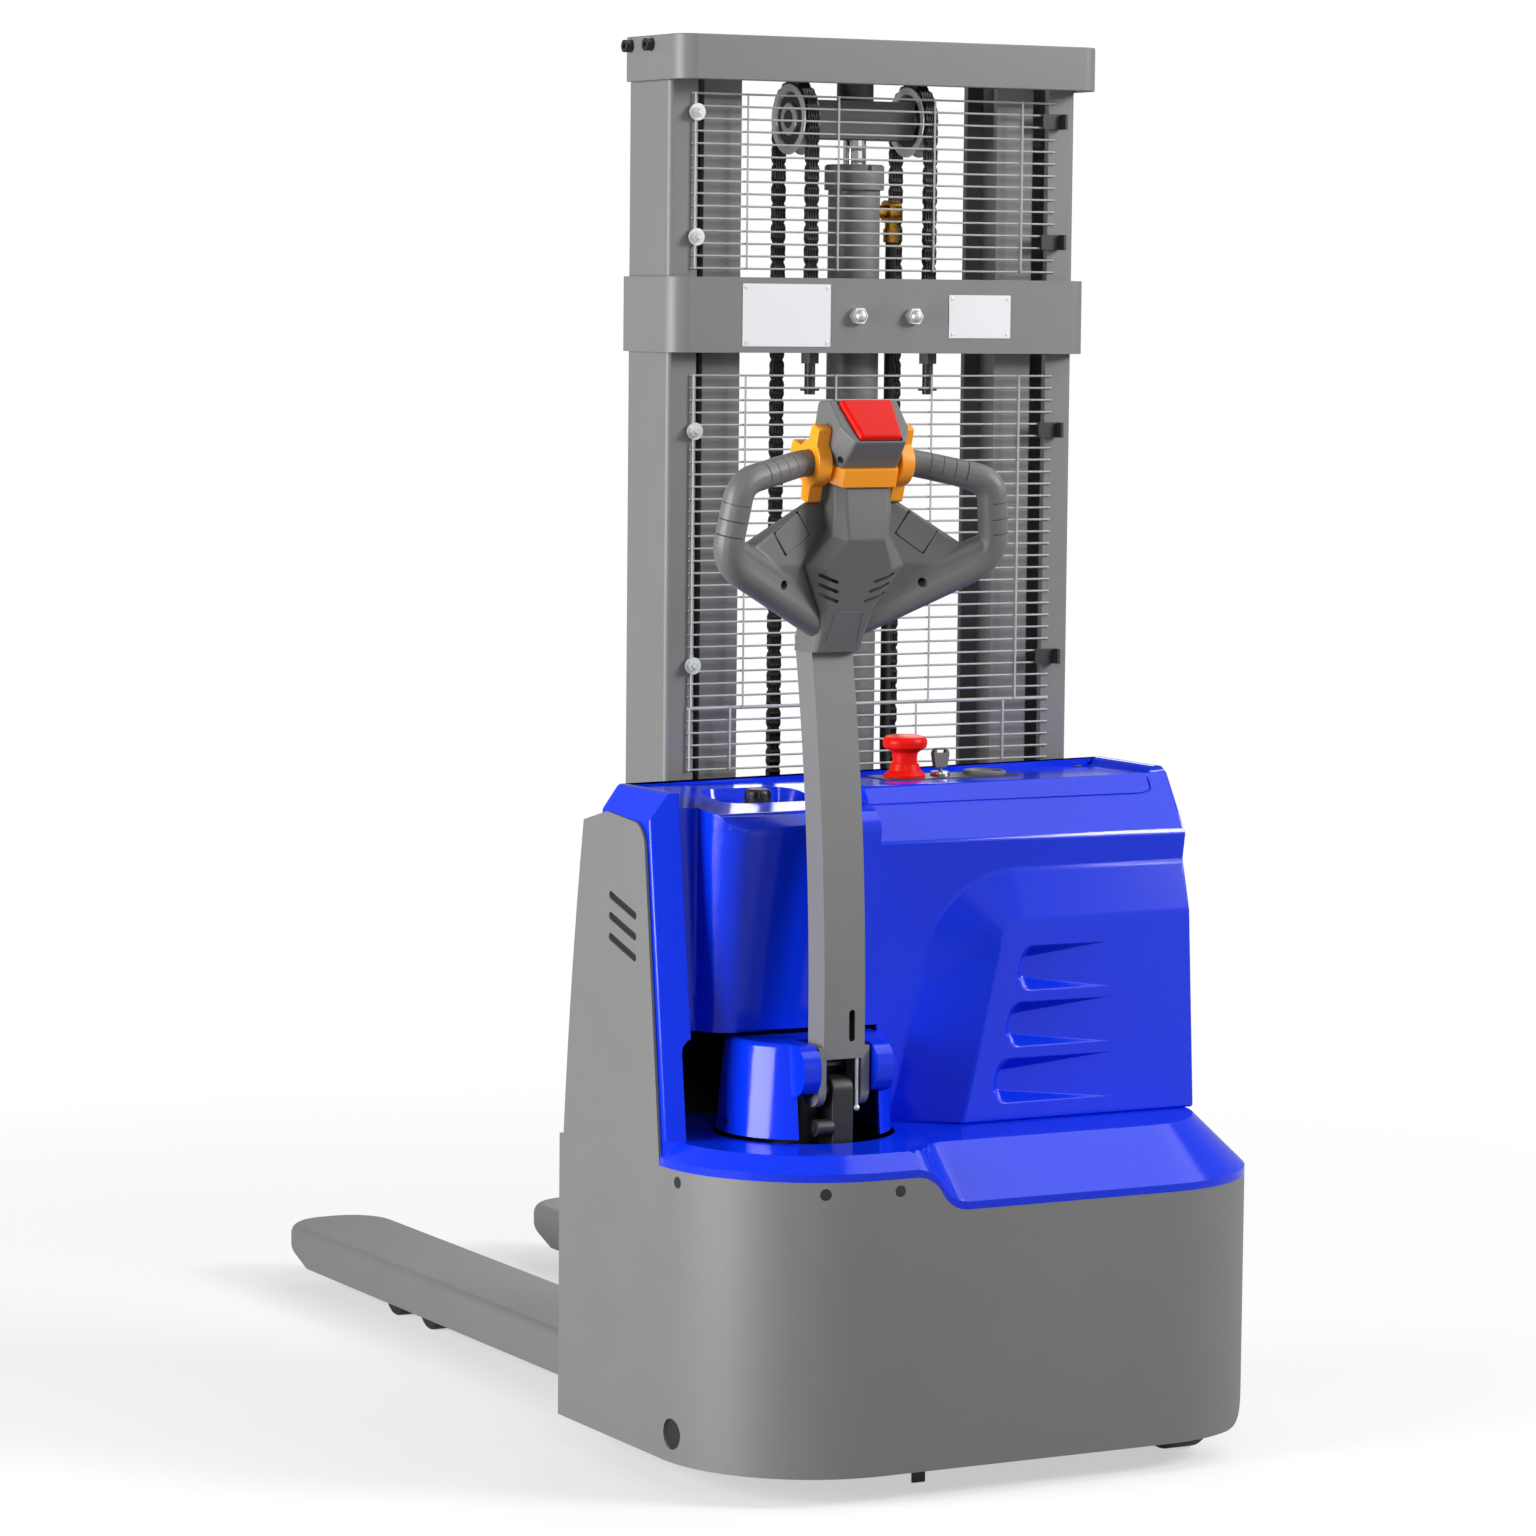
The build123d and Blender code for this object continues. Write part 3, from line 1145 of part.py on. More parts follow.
def rear_chains():
    strands = []
    for side in (-1, 1):
        x = (side * CHAIN_X - CHAIN_WIDTH / 2, side * CHAIN_X + CHAIN_WIDTH / 2)
        hoop = rod_x(x, MAST_MID, CHAIN_WHEEL_Z, CHAIN_R + CHAIN_T / 2)
        hoop -= rod_x(x, MAST_MID, CHAIN_WHEEL_Z, CHAIN_R - CHAIN_T / 2)
        reach = CHAIN_R + CHAIN_T
        hoop &= block(x, (MAST_MID - reach, MAST_MID + reach), (CHAIN_WHEEL_Z, CHAIN_WHEEL_Z + reach))
        strands.append(hoop + chain_strand(side, MAST_MID + CHAIN_R, (CHAIN_LUG_Z + CHAIN_LUG_H, CHAIN_WHEEL_Z)))
    return strands


def hose_x():
    """How far the hose hangs to the right of the cylinder."""
    return clamp_x() + CLAMP_R + HOSE_R + SLIP


def hose_fitting():
    x = hose_x()
    neck = rod_x((BARREL_R - COVER_WALL, x + BANJO_WIDTH / 2), MAST_MID, PORT_Z, PORT_R)
    neck -= rod_z(0, MAST_MID, (PORT_Z - 2 * PASS, PORT_Z + 2 * PASS), BARREL_R)
    eye = rod_x((x - BANJO_WIDTH / 2, x + BANJO_WIDTH / 2), MAST_MID, PORT_Z, BANJO_R)
    stem = rod_z(x, MAST_MID, (PORT_Z - STEM_DROP, PORT_Z), STEM_R)
    collar = rod_z(x, MAST_MID, (PORT_Z - STEM_DROP, PORT_Z - STEM_DROP + BANJO_WIDTH), STEM_R + RUN * 40)
    return neck + eye + stem + collar


def lift_hose():
    x = hose_x()
    path = FilletPolyline((x, MAST_MID, PORT_Z - STEM_DROP), (x, MAST_MID, HOSE_TURN_Z),
                          (x, COVER_REAR, HOSE_TURN_Z), radius=HOSE_BEND)
    section = Plane(origin=(x, MAST_MID, PORT_Z - STEM_DROP), z_dir=(0, 0, -1)) * Circle(HOSE_R)
    return sweep(section, path=path)


# Wire guards

def guard_row_z(base, row):
    return base + row * GUARD_PITCH


def wire_guard(base, rows, heavy_row):
    """Level wires and upright bars in one plane, as one pierced sheet."""
    top = guard_row_z(base, rows - 1)
    sheet = None
    for row in range(rows):
        thick = LOWER_BAR_WIRE if row == heavy_row else GUARD_WIRE
        wire = Pos(0, guard_row_z(base, row)) * Rectangle(2 * GUARD_HALF, thick)
        sheet = wire if sheet is None else sheet + wire
    bars = [Pos(x, (base + top) / 2) * Rectangle(GUARD_WIRE, top - base) for x in GUARD_BARS]
    sheet = sheet + bars
    return front_prism(sheet, (GUARD_Y, MAST_Y))


def guard_fix_heights():
    """Midway between two wires, so that a bolt passes between them."""
    upper = [guard_row_z(UPPER_GUARD_Z, row) for row in GUARD_FIX_ROWS_UPPER]
    lower = [guard_row_z(LOWER_GUARD_Z, row) for row in GUARD_FIX_ROWS_LOWER]
    return [z + GUARD_PITCH / 2 for z in upper + lower]


def guard_bolts():
    """Zinc bolts, washers and nuts on the left channel."""
    fixings = []
    for z in guard_fix_heights():
        front = GUARD_Y - GUARD_WASHER_T
        bolt = rod_y(-GUARD_FIX_X, (front - GUARD_NUT_H * 1.6, MAST_Y), z, GUARD_BOLT_R)
        bolt += rod_y(-GUARD_FIX_X, (front, GUARD_Y), z, GUARD_WASHER_R)
        bolt += front_prism(Pos(-GUARD_FIX_X, z) * hexagon(GUARD_NUT_R), (front - GUARD_NUT_H, front))
        fixings.append(bolt)
    return fixings


def guard_clips():
    """Black spring clips on the right channel."""
    fixings = []
    for z in guard_fix_heights():
        front = GUARD_Y - CLIP_T
        pin = rod_y(GUARD_FIX_X, (GUARD_Y - CLIP_T, MAST_Y), z, GUARD_BOLT_R)
        plate = block((GUARD_FIX_X - CLIP_LENGTH / 2, GUARD_FIX_X + CLIP_LENGTH / 2), (front, GUARD_Y),
                      (z - CLIP_HEIGHT / 2, z + CLIP_HEIGHT / 2))
        lip = block((GUARD_FIX_X + CLIP_LENGTH / 2 - CLIP_T, GUARD_FIX_X + CLIP_LENGTH / 2),
                    (front - CLIP_HEIGHT / 2, front), (z - CLIP_HEIGHT / 2, z + CLIP_HEIGHT / 2))
        fixings.append(pin + plate + lip)
    return fixings


# Forks, carriage and legs

def fork(side):
    """A fork, hollow underneath, with a solid wedge for a nose and its shank on the carriage."""
    x = side * FORK_X
    wide = FORK_WIDTH / 2
    tip = LENGTH / 2
    nose = rounded([(x - wide, FORK_HEEL), (x + wide, FORK_HEEL), (x + wide, tip), (x - wide, tip)],
                   [0, 0, FORK_NOSE, FORK_NOSE])
    beam = plan_prism(nose, (FORK_BOTTOM, FORK_TOP))
    edges = beam.edges().group_by(Axis.Z)[-1]
    beam = fillet([edge for edge in edges if edge.center().Y > FORK_HEEL + PASS], FORK_ROUND)
    beam -= block((x - wide + FORK_T, x + wide - FORK_T), (FORK_HEEL, tip - FORK_CUT_Y - FORK_T),
                  (FORK_BOTTOM, FORK_TOP - FORK_T))
    ramp = polygon((tip - FORK_CUT_Y, FORK_BOTTOM), (tip, FORK_BOTTOM + FORK_CUT_Z), (tip, FORK_BOTTOM))
    beam -= side_prism(ramp, (x - wide, x + wide))
    return beam + fork_shank(x)


def fork_shank(x):
    """The upright plate and gusset that join a fork to the carriage."""
    plate = block((x - SHANK_WIDTH / 2, x + SHANK_WIDTH / 2), (FORK_HEEL - FORK_T, FORK_HEEL + FORK_T),
                  (FORK_TOP - FORK_T, SHANK_TOP))
    gusset = polygon((FORK_HEEL, FORK_TOP - FORK_T / 2), (FORK_HEEL + SHANK_GUSSET, FORK_TOP - FORK_T / 2),
                     (FORK_HEEL + FORK_T, FORK_TOP + SHANK_GUSSET * 2), (FORK_HEEL, FORK_TOP + SHANK_GUSSET * 2))
    rib = side_prism(gusset, (x - FORK_T / 2, x + FORK_T / 2))
    return plate + rib


def carriage_frame():
    """Side plates between the inner beams, tied by two cross bars behind the mast."""
    outside = BEAM_INSIDE - CARRIAGE_GAP
    front = MAST_MID - groove_roller_r()
    plate = block((outside - CARRIAGE_PLATE_T, outside), (front, CARRIAGE_FACE), (CARRIAGE_LOW, CARRIAGE_TOP))
    end = BEAM_WEB_X - BEAM_WEB / 2 - ROLLER_SIDE
    for z in (CARRIAGE_ROLLER_LOW, CARRIAGE_ROLLER_HIGH):
        plate += rod_x((outside - CARRIAGE_PLATE_T, end), MAST_MID, z, ROLLER_AXLE_R)
    frame = plate + mirror(plate, about=Plane.YZ)
    half = FORK_SPREAD / 2
    back = FORK_HEEL - FORK_T
    for low in (CARRIAGE_LOW, CARRIAGE_TOP - CARRIAGE_BAR):
        z = (low, low + CARRIAGE_BAR)
        frame += block((-outside, outside), (CARRIAGE_FACE - CARRIAGE_BAR_T, CARRIAGE_FACE), z)
        frame += block((-half, half), (CARRIAGE_FACE, back), z)
    for side in (-1, 1):
        x = side * CHAIN_X
        frame += block((x - ANCHOR_LUG_HALF, x + ANCHOR_LUG_HALF),
                       (MAST_MID + CHAIN_R - CHAIN_T / 2, CARRIAGE_FACE - CARRIAGE_BAR_T),
                       (CHAIN_LUG_Z, CHAIN_LUG_Z + CHAIN_LUG_H))
    return frame


def leg(side):
    """A support leg under a fork: an upturned channel with its roller axles."""
    x = side * FORK_X
    wide = LEG_WIDTH / 2
    end = FRONT + LEG_END_Y
    beam = block((x - wide, x + wide), (MAST_BACK, end), (FOOT_Z, LEG_TOP))
    beam -= block((x - wide + LEG_T, x + wide - LEG_T), (MAST_BACK + LEG_T, end - LEG_T), (FOOT_Z, LEG_TOP - LEG_T))
    first, last = LOAD_ROLLER_Y
    beam -= block((x - wide + LEG_T, x + wide - LEG_T), (FRONT + first - LEG_WINDOW, FRONT + last + LEG_WINDOW),
                  (FOOT_Z, LEG_TOP))
    for y in LOAD_ROLLER_Y:
        beam += rod_x((x - wide, x + wide), FRONT + y, LOAD_ROLLER_R, LOAD_AXLE_R)
    return beam


def load_rollers(y):
    half = LOAD_ROLLER_WIDTH / 2
    rollers = []
    for side in (-1, 1):
        x = (side * FORK_X - half, side * FORK_X + half)
        roller = rod_x(x, FRONT + y, LOAD_ROLLER_R, LOAD_ROLLER_R)
        roller = chamfer(roller.edges().filter_by(GeomType.CIRCLE), LOAD_AXLE_R / 4)
        rollers.append(roller - rod_x(x, FRONT + y, LOAD_ROLLER_R, LOAD_AXLE_R + RUN))
    return rollers


# Drive unit

def drive_gearbox():
    """The turning flange in the deck, with the leg that carries the drive wheel."""
    flange = rod_z(STEER_X, STEER_Y, (DECK_Z - RING_LIP, RING_TOP), RING_R)
    flange += rod_z(STEER_X, STEER_Y, (DECK_Z - RING_LIP, DECK_Z - SEAT), RING_R + RING_LIP)
    near = STEER_X + WHEEL_WIDTH / 2 + SLIP
    leg_box = block((near, near + GEARBOX_WIDTH), (STEER_Y - GEARBOX_HALF, STEER_Y + GEARBOX_HALF),
                    (GEARBOX_FLOOR, DECK_Z - RING_LIP))
    leg_box = fillet(leg_box.edges().filter_by(Axis.X), PASS)
    axle = rod_x((STEER_X - WHEEL_WIDTH / 2, near), STEER_Y, WHEEL_R, DRIVE_AXLE_R)
    return flange + leg_box + axle


def drive_motor():
    motor = rod_z(STEER_X, STEER_Y, (RING_TOP, MOTOR_TOP), MOTOR_R)
    motor = fillet(motor.edges().group_by(Axis.Z)[-1], PASS)
    return motor + rod_z(STEER_X, STEER_Y, (MOTOR_TOP, TURN_TOP - TURN_CAP), BRAKE_R)


def drive_wheel():
    x = (STEER_X - WHEEL_WIDTH / 2, STEER_X + WHEEL_WIDTH / 2)
    tyre = rod_x(x, STEER_Y, WHEEL_R, WHEEL_R)
    tyre = fillet(tyre.edges().filter_by(GeomType.CIRCLE), TYRE_T / 4)
    dish_x = (x[0], x[0] + TYRE_T / 2)
    tyre -= rod_x(dish_x, STEER_Y, WHEEL_R, WHEEL_R - TYRE_T) - rod_x(dish_x, STEER_Y, WHEEL_R, HUB_R)
    return tyre - rod_x(x, STEER_Y, WHEEL_R, DRIVE_AXLE_R + RUN)


def turntable_cover():
    """The round cover on the turntable, slotted at the front for the tiller."""
    height = TURN_TOP - TURN_BOTTOM
    outer = Pos(STEER_X, STEER_Y, (TURN_TOP + TURN_BOTTOM) / 2) * Cone(TURN_R, TURN_TOP_R, height)
    outer = fillet(outer.edges().group_by(Axis.Z)[-1], TURN_CAP)
    front = STEER_Y - CHEEK_FRONT
    profile = rounded([(front, CHEEK_LOW), (STEER_Y, CHEEK_LOW), (STEER_Y, TURN_TOP - SEAT), (front, TURN_TOP - SEAT)],
                      [CHEEK_ROUND, 0, 0, CHEEK_ROUND])
    for side in (-1, 1):
        inner, far = STEER_X + side * SLOT_HALF, STEER_X + side * (SLOT_HALF + CHEEK_WIDTH)
        outer += side_prism(profile, (min(inner, far), max(inner, far)))
    hollow = Pos(STEER_X, STEER_Y, (TURN_TOP + TURN_BOTTOM) / 2 - TURN_CAP) * Cone(
        TURN_R - COVER_WALL, TURN_TOP_R - COVER_WALL, height)
    shell = outer - hollow
    shell -= block((STEER_X - SLOT_HALF, STEER_X + SLOT_HALF), (front - PASS, STEER_Y - BRAKE_R),
                   (TURN_BOTTOM, TURN_TOP))
    shell -= block((STEER_X - SLOT_LOW_HALF, STEER_X + SLOT_LOW_HALF), (front - PASS, STEER_Y - BRAKE_R),
                   (TURN_BOTTOM, SLOT_LOW_TOP))
    gap = TURN_SPLIT / 2
    reach = TURN_R + CHEEK_FRONT
    halves = []
    for x in ((STEER_X - reach, STEER_X - gap), (STEER_X + gap, STEER_X + reach)):
        halves.append(shell & block(x, (STEER_Y - reach, STEER_Y + reach), (TURN_BOTTOM, TURN_TOP)))
    return halves


def tiller_bracket():
    """The post on the turntable that the tiller pivots on, with its pin."""
    half = LUG_DEPTH / 2
    post = rounded([(PIVOT_Y - half, RING_TOP), (PIVOT_Y + half, RING_TOP), (PIVOT_Y + half, PIVOT_Z + half),
                    (PIVOT_Y - half, PIVOT_Z + half)], [0, 0, half - SEAT, half - SEAT])
    lug = side_prism(post, (STEER_X - LUG_HALF, STEER_X + LUG_HALF))
    return lug + rod_x((STEER_X - EAR_OUTER, STEER_X + EAR_OUTER), PIVOT_Y, PIVOT_Z, PIN_R)


# Tiller

def arm_curve(radius, angle):
    """A point on the arm's bow, which leans towards the mast as it rises."""
    centre = FRONT + ARM_FRONT_SETBACK + ARM_BOW
    return centre - radius * math.cos(angle), ARM_BEND_Z + radius * math.sin(angle)


def arm_profile(inset):
    """The arm seen from the side."""
    front, back = ARM_BOW - inset, ARM_BOW - ARM_DEPTH + inset
    low = ARM_FOOT_Z + inset
    near = math.asin((ARM_TOP_Z + PASS - ARM_BEND_Z) / front)
    far = math.asin((ARM_TOP_Z + PASS - ARM_BEND_Z) / back)
    rise = ThreePointArc(arm_curve(front, 0), arm_curve(front, near / 2), arm_curve(front, near))
    fall = ThreePointArc(arm_curve(back, far), arm_curve(back, far / 2), arm_curve(back, 0))
    foot = Polyline(fall @ 1, ((fall @ 1).X, low), ((rise @ 0).X, low), rise @ 0)
    return make_face([rise, Line(rise @ 1, fall @ 0), fall, foot])


def tiller_arm():
    half = ARM_WIDTH / 2
    arm = side_prism(arm_profile(0), (STEER_X - half, STEER_X + half))
    arm -= side_prism(arm_profile(ARM_WALL), (STEER_X - half + ARM_WALL, STEER_X + half - ARM_WALL))
    arm -= block((STEER_X - ARM_WIDTH, STEER_X + ARM_WIDTH), (FRONT, MAST_Y), (ARM_TOP_Z, ARM_TOP_Z + 2 * PASS))
    front = FRONT + ARM_FRONT_SETBACK
    slot = front_prism(Pos(STEER_X + ARM_SLOT_X, ARM_SLOT_Z) * Rot(0, 0, 90)
                       * SlotOverall(ARM_SLOT_LENGTH, ARM_SLOT_WIDTH), (front - PASS, front + PASS))
    arm -= slot
    back = front + ARM_DEPTH
    ear = rounded([(PIVOT_Y - EAR_R, PIVOT_Z - EAR_R), (PIVOT_Y + EAR_R, PIVOT_Z - EAR_R),
                   (back, ARM_FOOT_Z + EAR_SHOULDER), (front, ARM_FOOT_Z + EAR_SHOULDER)],
                  [EAR_R - SEAT, EAR_R - SEAT, 0, 0])
    for side in (-1, 1):
        near, far = STEER_X + side * EAR_INNER, STEER_X + side * EAR_OUTER
        x = (min(near, far), max(near, far))
        arm += side_prism(ear, x) - rod_x(x, PIVOT_Y, PIVOT_Z, PIN_R + RUN)
    return arm


def lean(shape):
    """Takes a piece of the head from its upright frame to its place on the arm."""
    return Pos(STEER_X, FRONT + HEAD_SETBACK, HEAD_Z) * Rot(HEAD_LEAN, 0, 0) * shape


def head_loop():
    """The right loop handle: grip, outer bow and lower stay."""
    path = FilletPolyline((BLOCK_HALF, GRIP_Y, GRIP_Z), (BLOCK_HALF + THROTTLE_T + PASS, GRIP_Y, GRIP_Z),
                          (GRIP_OUT, -GRIP_SWEEP, GRIP_Z - GRIP_DROP),
                          (LOOP_OUT, -LOOP_SWEEP, LOOP_LOW_Z), (LOOP_END_X, -GRIP_DROP, LOOP_END_Z),
                          radius=[PASS, LOOP_BEND, LOOP_LOW_BEND])
    section = Plane(origin=(BLOCK_HALF, GRIP_Y, GRIP_Z), z_dir=(1, 0, 0)) * Circle(GRIP_R)
    return sweep(section, path=path)


def wing_front(x):
    """How far forward the wing's lower facet lies, in front of the loops' middle."""
    return WING_FRONT - WING_SWEEP * x / WING_OUT


def head_wing():
    """The web inside the right loop, below the hand gap: two facets that meet in a level ridge."""
    outline = rounded([(0, COLLAR_TOP), (WING_LOW_X - COLLAR_TOP, COLLAR_TOP), (WING_LOW_X, WING_LOW_Z),
                       (WING_OUT, WING_OUT_Z), (WING_IN, WING_IN_Z), (0, WING_IN_Z)],
                      [0, 0, 0, WING_EDGE, WING_EDGE, 0])
    near, far = wing_front(0), wing_front(WING_OUT)
    sweep_plan = polygon((0, near), (WING_OUT, far), (WING_OUT, far + WING_T), (0, near + WING_T))
    wing = plan_prism(sweep_plan, (COLLAR_TOP, WING_IN_Z)) & front_prism(outline, (far, near + WING_T))
    ahead = polygon((0, near), (WING_OUT, far), (WING_OUT, far - WING_T), (0, near - WING_T))
    rise = WING_IN_Z - WING_RIDGE_Z
    return wing - leaning_prism(ahead, (WING_RIDGE_Z, WING_IN_Z), rise * math.tan(math.radians(WING_LEAN)))


def shield():
    """The faceted front of the head, from the arm up to the crest and on to the neck."""
    slope = (CREST_FRONT - COLLAR_FRONT) / (CREST_Z - COLLAR_Z)
    cuts = []
    for z, half, face in ((-HEAD_BACK, COLLAR_HALF, COLLAR_HALF - WING_EDGE),
                          (COLLAR_TOP, COLLAR_HALF + WING_EDGE, COLLAR_HALF),
                          (SHOULDER_Z, SHOULDER_HALF, SHOULDER_HALF - WING_EDGE),
                          (CREST_Z, NECK_HALF, CREST_HALF)):
        cuts.append((z, half, face, COLLAR_FRONT + (z - COLLAR_Z) * slope))
    cuts.append((NECK_Z, NECK_HALF, NECK_FACE, NECK_FRONT))
    cuts.append((NECK_TOP, NECK_HALF, NECK_FACE, BLOCK_FRONT))
    body = None
    for lower, upper in zip(cuts, cuts[1:]):
        wires = [Plane.XY.offset(cut[0]) * head_section(*cut[1:]) for cut in (lower, upper)]
        piece = loft(wires, ruled=True)
        body = piece if body is None else body + piece
    return body


def head_section(half, face, front):
    """A level cut through the head: flat back, slanted front corners."""
    corner = front + (half - face) * 1.2
    return polygon((-half, HEAD_BACK), (-half, corner), (-face, front), (face, front), (half, corner),
                   (half, HEAD_BACK))


def head_block():
    """The block at the top that carries the reversing button and the throttle."""
    side = polygon((BLOCK_FRONT, NECK_TOP), (BLOCK_FRONT, NECK_TOP + BAND_HEIGHT), (BROW_FRONT, BLOCK_BROW_Z),
                   (BLOCK_TOP_Y, BLOCK_TOP_Z), (BLOCK_BACK, BLOCK_TOP_Z - PASS), (BLOCK_BACK, NECK_TOP))
    body = side_prism(side, (-BLOCK_HALF, BLOCK_HALF))
    bite = BLOCK_HALF - BLOCK_FACE
    for hand in (-1, 1):
        edge, face = hand * BLOCK_HALF, hand * BLOCK_FACE
        corner = polygon((edge, BLOCK_FRONT), (face, BLOCK_FRONT), (face, 2 * BROW_FRONT), (edge, 2 * BROW_FRONT))
        wedge = polygon((edge, BLOCK_FRONT), (face, BLOCK_FRONT), (edge, BLOCK_FRONT + 2 * bite))
        lean_out = (BROW_FRONT - BLOCK_FRONT) / (BLOCK_BROW_Z - NECK_TOP)
        body -= leaning_prism(wedge, (NECK_TOP, BLOCK_TOP_Z), (BLOCK_TOP_Z - NECK_TOP) * lean_out)
        body -= leaning_prism(corner, (NECK_TOP, BLOCK_TOP_Z), (BLOCK_TOP_Z - NECK_TOP) * lean_out)
    return body


def reverse_plane():
    """The slanted face that the reversing button is set in."""
    rise, run = BLOCK_TOP_Z - BLOCK_BROW_Z, BLOCK_TOP_Y - BROW_FRONT
    middle = (0, (BLOCK_TOP_Y + BROW_FRONT) / 2, (BLOCK_TOP_Z + BLOCK_BROW_Z) / 2)
    return Plane(origin=middle, x_dir=(1, 0, 0), z_dir=(0, -rise, run))


def reverse_outline(gap):
    half = REVERSE_LENGTH / 2 + gap
    return polygon((-REVERSE_FRONT - gap, -half), (REVERSE_FRONT + gap, -half), (REVERSE_REAR + gap, half),
                   (-REVERSE_REAR - gap, half))


def reverse_button():
    place = reverse_plane().location
    key_part = extrude(reverse_outline(0), amount=REVERSE_PROUD, taper=REVERSE_TAPER)
    tail = Pos(0, 0, -REVERSE_SINK) * extrude(reverse_outline(0), amount=REVERSE_SINK)
    return lean(place * (key_part + tail))


def pad_place(side):
    """Where a switch pad is set into the wing's upper facet."""
    slope = WING_SWEEP / WING_OUT
    rise = math.tan(math.radians(WING_LEAN))
    middle = (side * PAD_X, wing_front(PAD_X) + (PAD_Z - WING_RIDGE_Z) * rise, PAD_Z)
    plane = Plane(origin=middle, x_dir=(1, -side * slope, 0), z_dir=(-side * slope, -1, rise))
    return plane.location * Rot(0, 0, -side * PAD_TILT)


def switch_pad(side):
    pad = extrude(RectangleRounded(PAD_WIDTH, PAD_HEIGHT, PAD_T), amount=PAD_T)
    return lean(pad_place(side) * Pos(0, 0, PAD_PROUD - PAD_T) * pad)


def tiller_head():
    half = head_loop() + head_wing()
    head = shield() + head_block() + half + mirror(half, about=Plane.YZ)
    for side in (-1, 1):
        gap = side * (BLOCK_HALF + SEAT)
        far = side * (BLOCK_HALF + THROTTLE_T + 2 * SEAT + SLIP)
        x = (min(gap, far), max(gap, far))
        ring = rod_x(x, GRIP_Y, GRIP_Z, LOBE_OUT + SLIP) - rod_x(x, GRIP_Y, GRIP_Z, THROTTLE_BORE_R)
        head -= ring
        well = extrude(RectangleRounded(PAD_WIDTH + 2 * SLIP, PAD_HEIGHT + 2 * SLIP, PAD_T),
                       amount=2 * PAD_T + PAD_TRAVEL)
        head -= pad_place(side) * Pos(0, 0, -PAD_T - PAD_TRAVEL) * well
        face = wing_front(BOSS_X)
        head -= rod_y(side * BOSS_X, (face - PASS, face + BOSS_DEPTH), BOSS_Z, BOSS_HOLE_R)
    sink = REVERSE_SINK + REVERSE_TRAVEL + SLIP
    head -= reverse_plane().location * (Pos(0, 0, -sink) * extrude(reverse_outline(SLIP), amount=sink + PASS))
    head = lean(head)
    return head - block((STEER_X - HALF, STEER_X + HALF), (FRONT, MAST_Y), (ARM_FOOT_Z, ARM_TOP_Z))


def orange_band():
    """The band across the head's front and round its slanted corners, below the block."""
    front = BLOCK_FRONT - BAND_T
    face = BLOCK_FACE + BAND_T / 3
    end = BLOCK_FRONT + BAND_CORNER
    outline = polygon((-face, front), (face, front), (BLOCK_HALF, end), (BLOCK_HALF, BLOCK_BACK),
                      (-BLOCK_HALF, BLOCK_BACK), (-BLOCK_HALF, end))
    return lean(plan_prism(outline, (NECK_TOP, NECK_TOP + BAND_HEIGHT)) - head_block())


def throttle_wings():
    """A lobed thumb ring on each side of the head; both turn together."""
    near = BLOCK_HALF + 2 * SEAT
    ring = Circle(THROTTLE_R)
    for angle in LOBE_ANGLES:
        lobe = rounded([(0, -LOBE_HALF), (LOBE_OUT, -LOBE_HALF * 0.7), (LOBE_OUT, LOBE_HALF * 0.7), (0, LOBE_HALF)],
                       [0, LOBE_HALF / 3, LOBE_HALF / 3, 0])
        ring += Rot(0, 0, angle) * lobe
    ring -= Circle(THROTTLE_BORE_R + RUN)
    wings = []
    for side in (-1, 1):
        x = (near, near + THROTTLE_T) if side > 0 else (-near - THROTTLE_T, -near)
        wings.append(lean(side_prism(Pos(GRIP_Y, GRIP_Z) * ring, x)))
    return wings


# Support caster

def caster_fork():
    """The swivelling fork of the caster, with its stem and axle."""
    y = FRONT + CASTER_SETBACK
    axle_y = y - CASTER_TRAIL
    top = TRAY_Z - SEAT
    half = CASTER_WIDTH / 2 + SLIP
    stem = rod_z(CASTER_X, y, (top - CASTER_PLATE_T, TRAY_Z + TRAY_T / 2), CASTER_STEM_R)
    crown = rod_z(CASTER_X, y, (top - CASTER_PLATE_T, top), half + CASTER_FORK_T)
    cheek = polygon((y - half, top), (y + half, top), (axle_y + 2 * CASTER_AXLE_R, CASTER_R - CASTER_AXLE_R),
                    (axle_y - 2 * CASTER_AXLE_R, CASTER_R - CASTER_AXLE_R))
    body = stem + crown
    for side in (-1, 1):
        near, far = CASTER_X + side * half, CASTER_X + side * (half + CASTER_FORK_T)
        body += side_prism(cheek, (min(near, far), max(near, far)))
    reach = half + CASTER_FORK_T
    return body + rod_x((CASTER_X - reach, CASTER_X + reach), axle_y, CASTER_R, CASTER_AXLE_R)


def caster_wheel():
    x = (CASTER_X - CASTER_WIDTH / 2, CASTER_X + CASTER_WIDTH / 2)
    y = FRONT + CASTER_SETBACK - CASTER_TRAIL
    wheel = rod_x(x, y, CASTER_R, CASTER_R)
    wheel = fillet(wheel.edges().filter_by(GeomType.CIRCLE), CASTER_FORK_T)
    return wheel - rod_x(x, y, CASTER_R, CASTER_AXLE_R + RUN)


os.makedirs("parts", exist_ok=True)

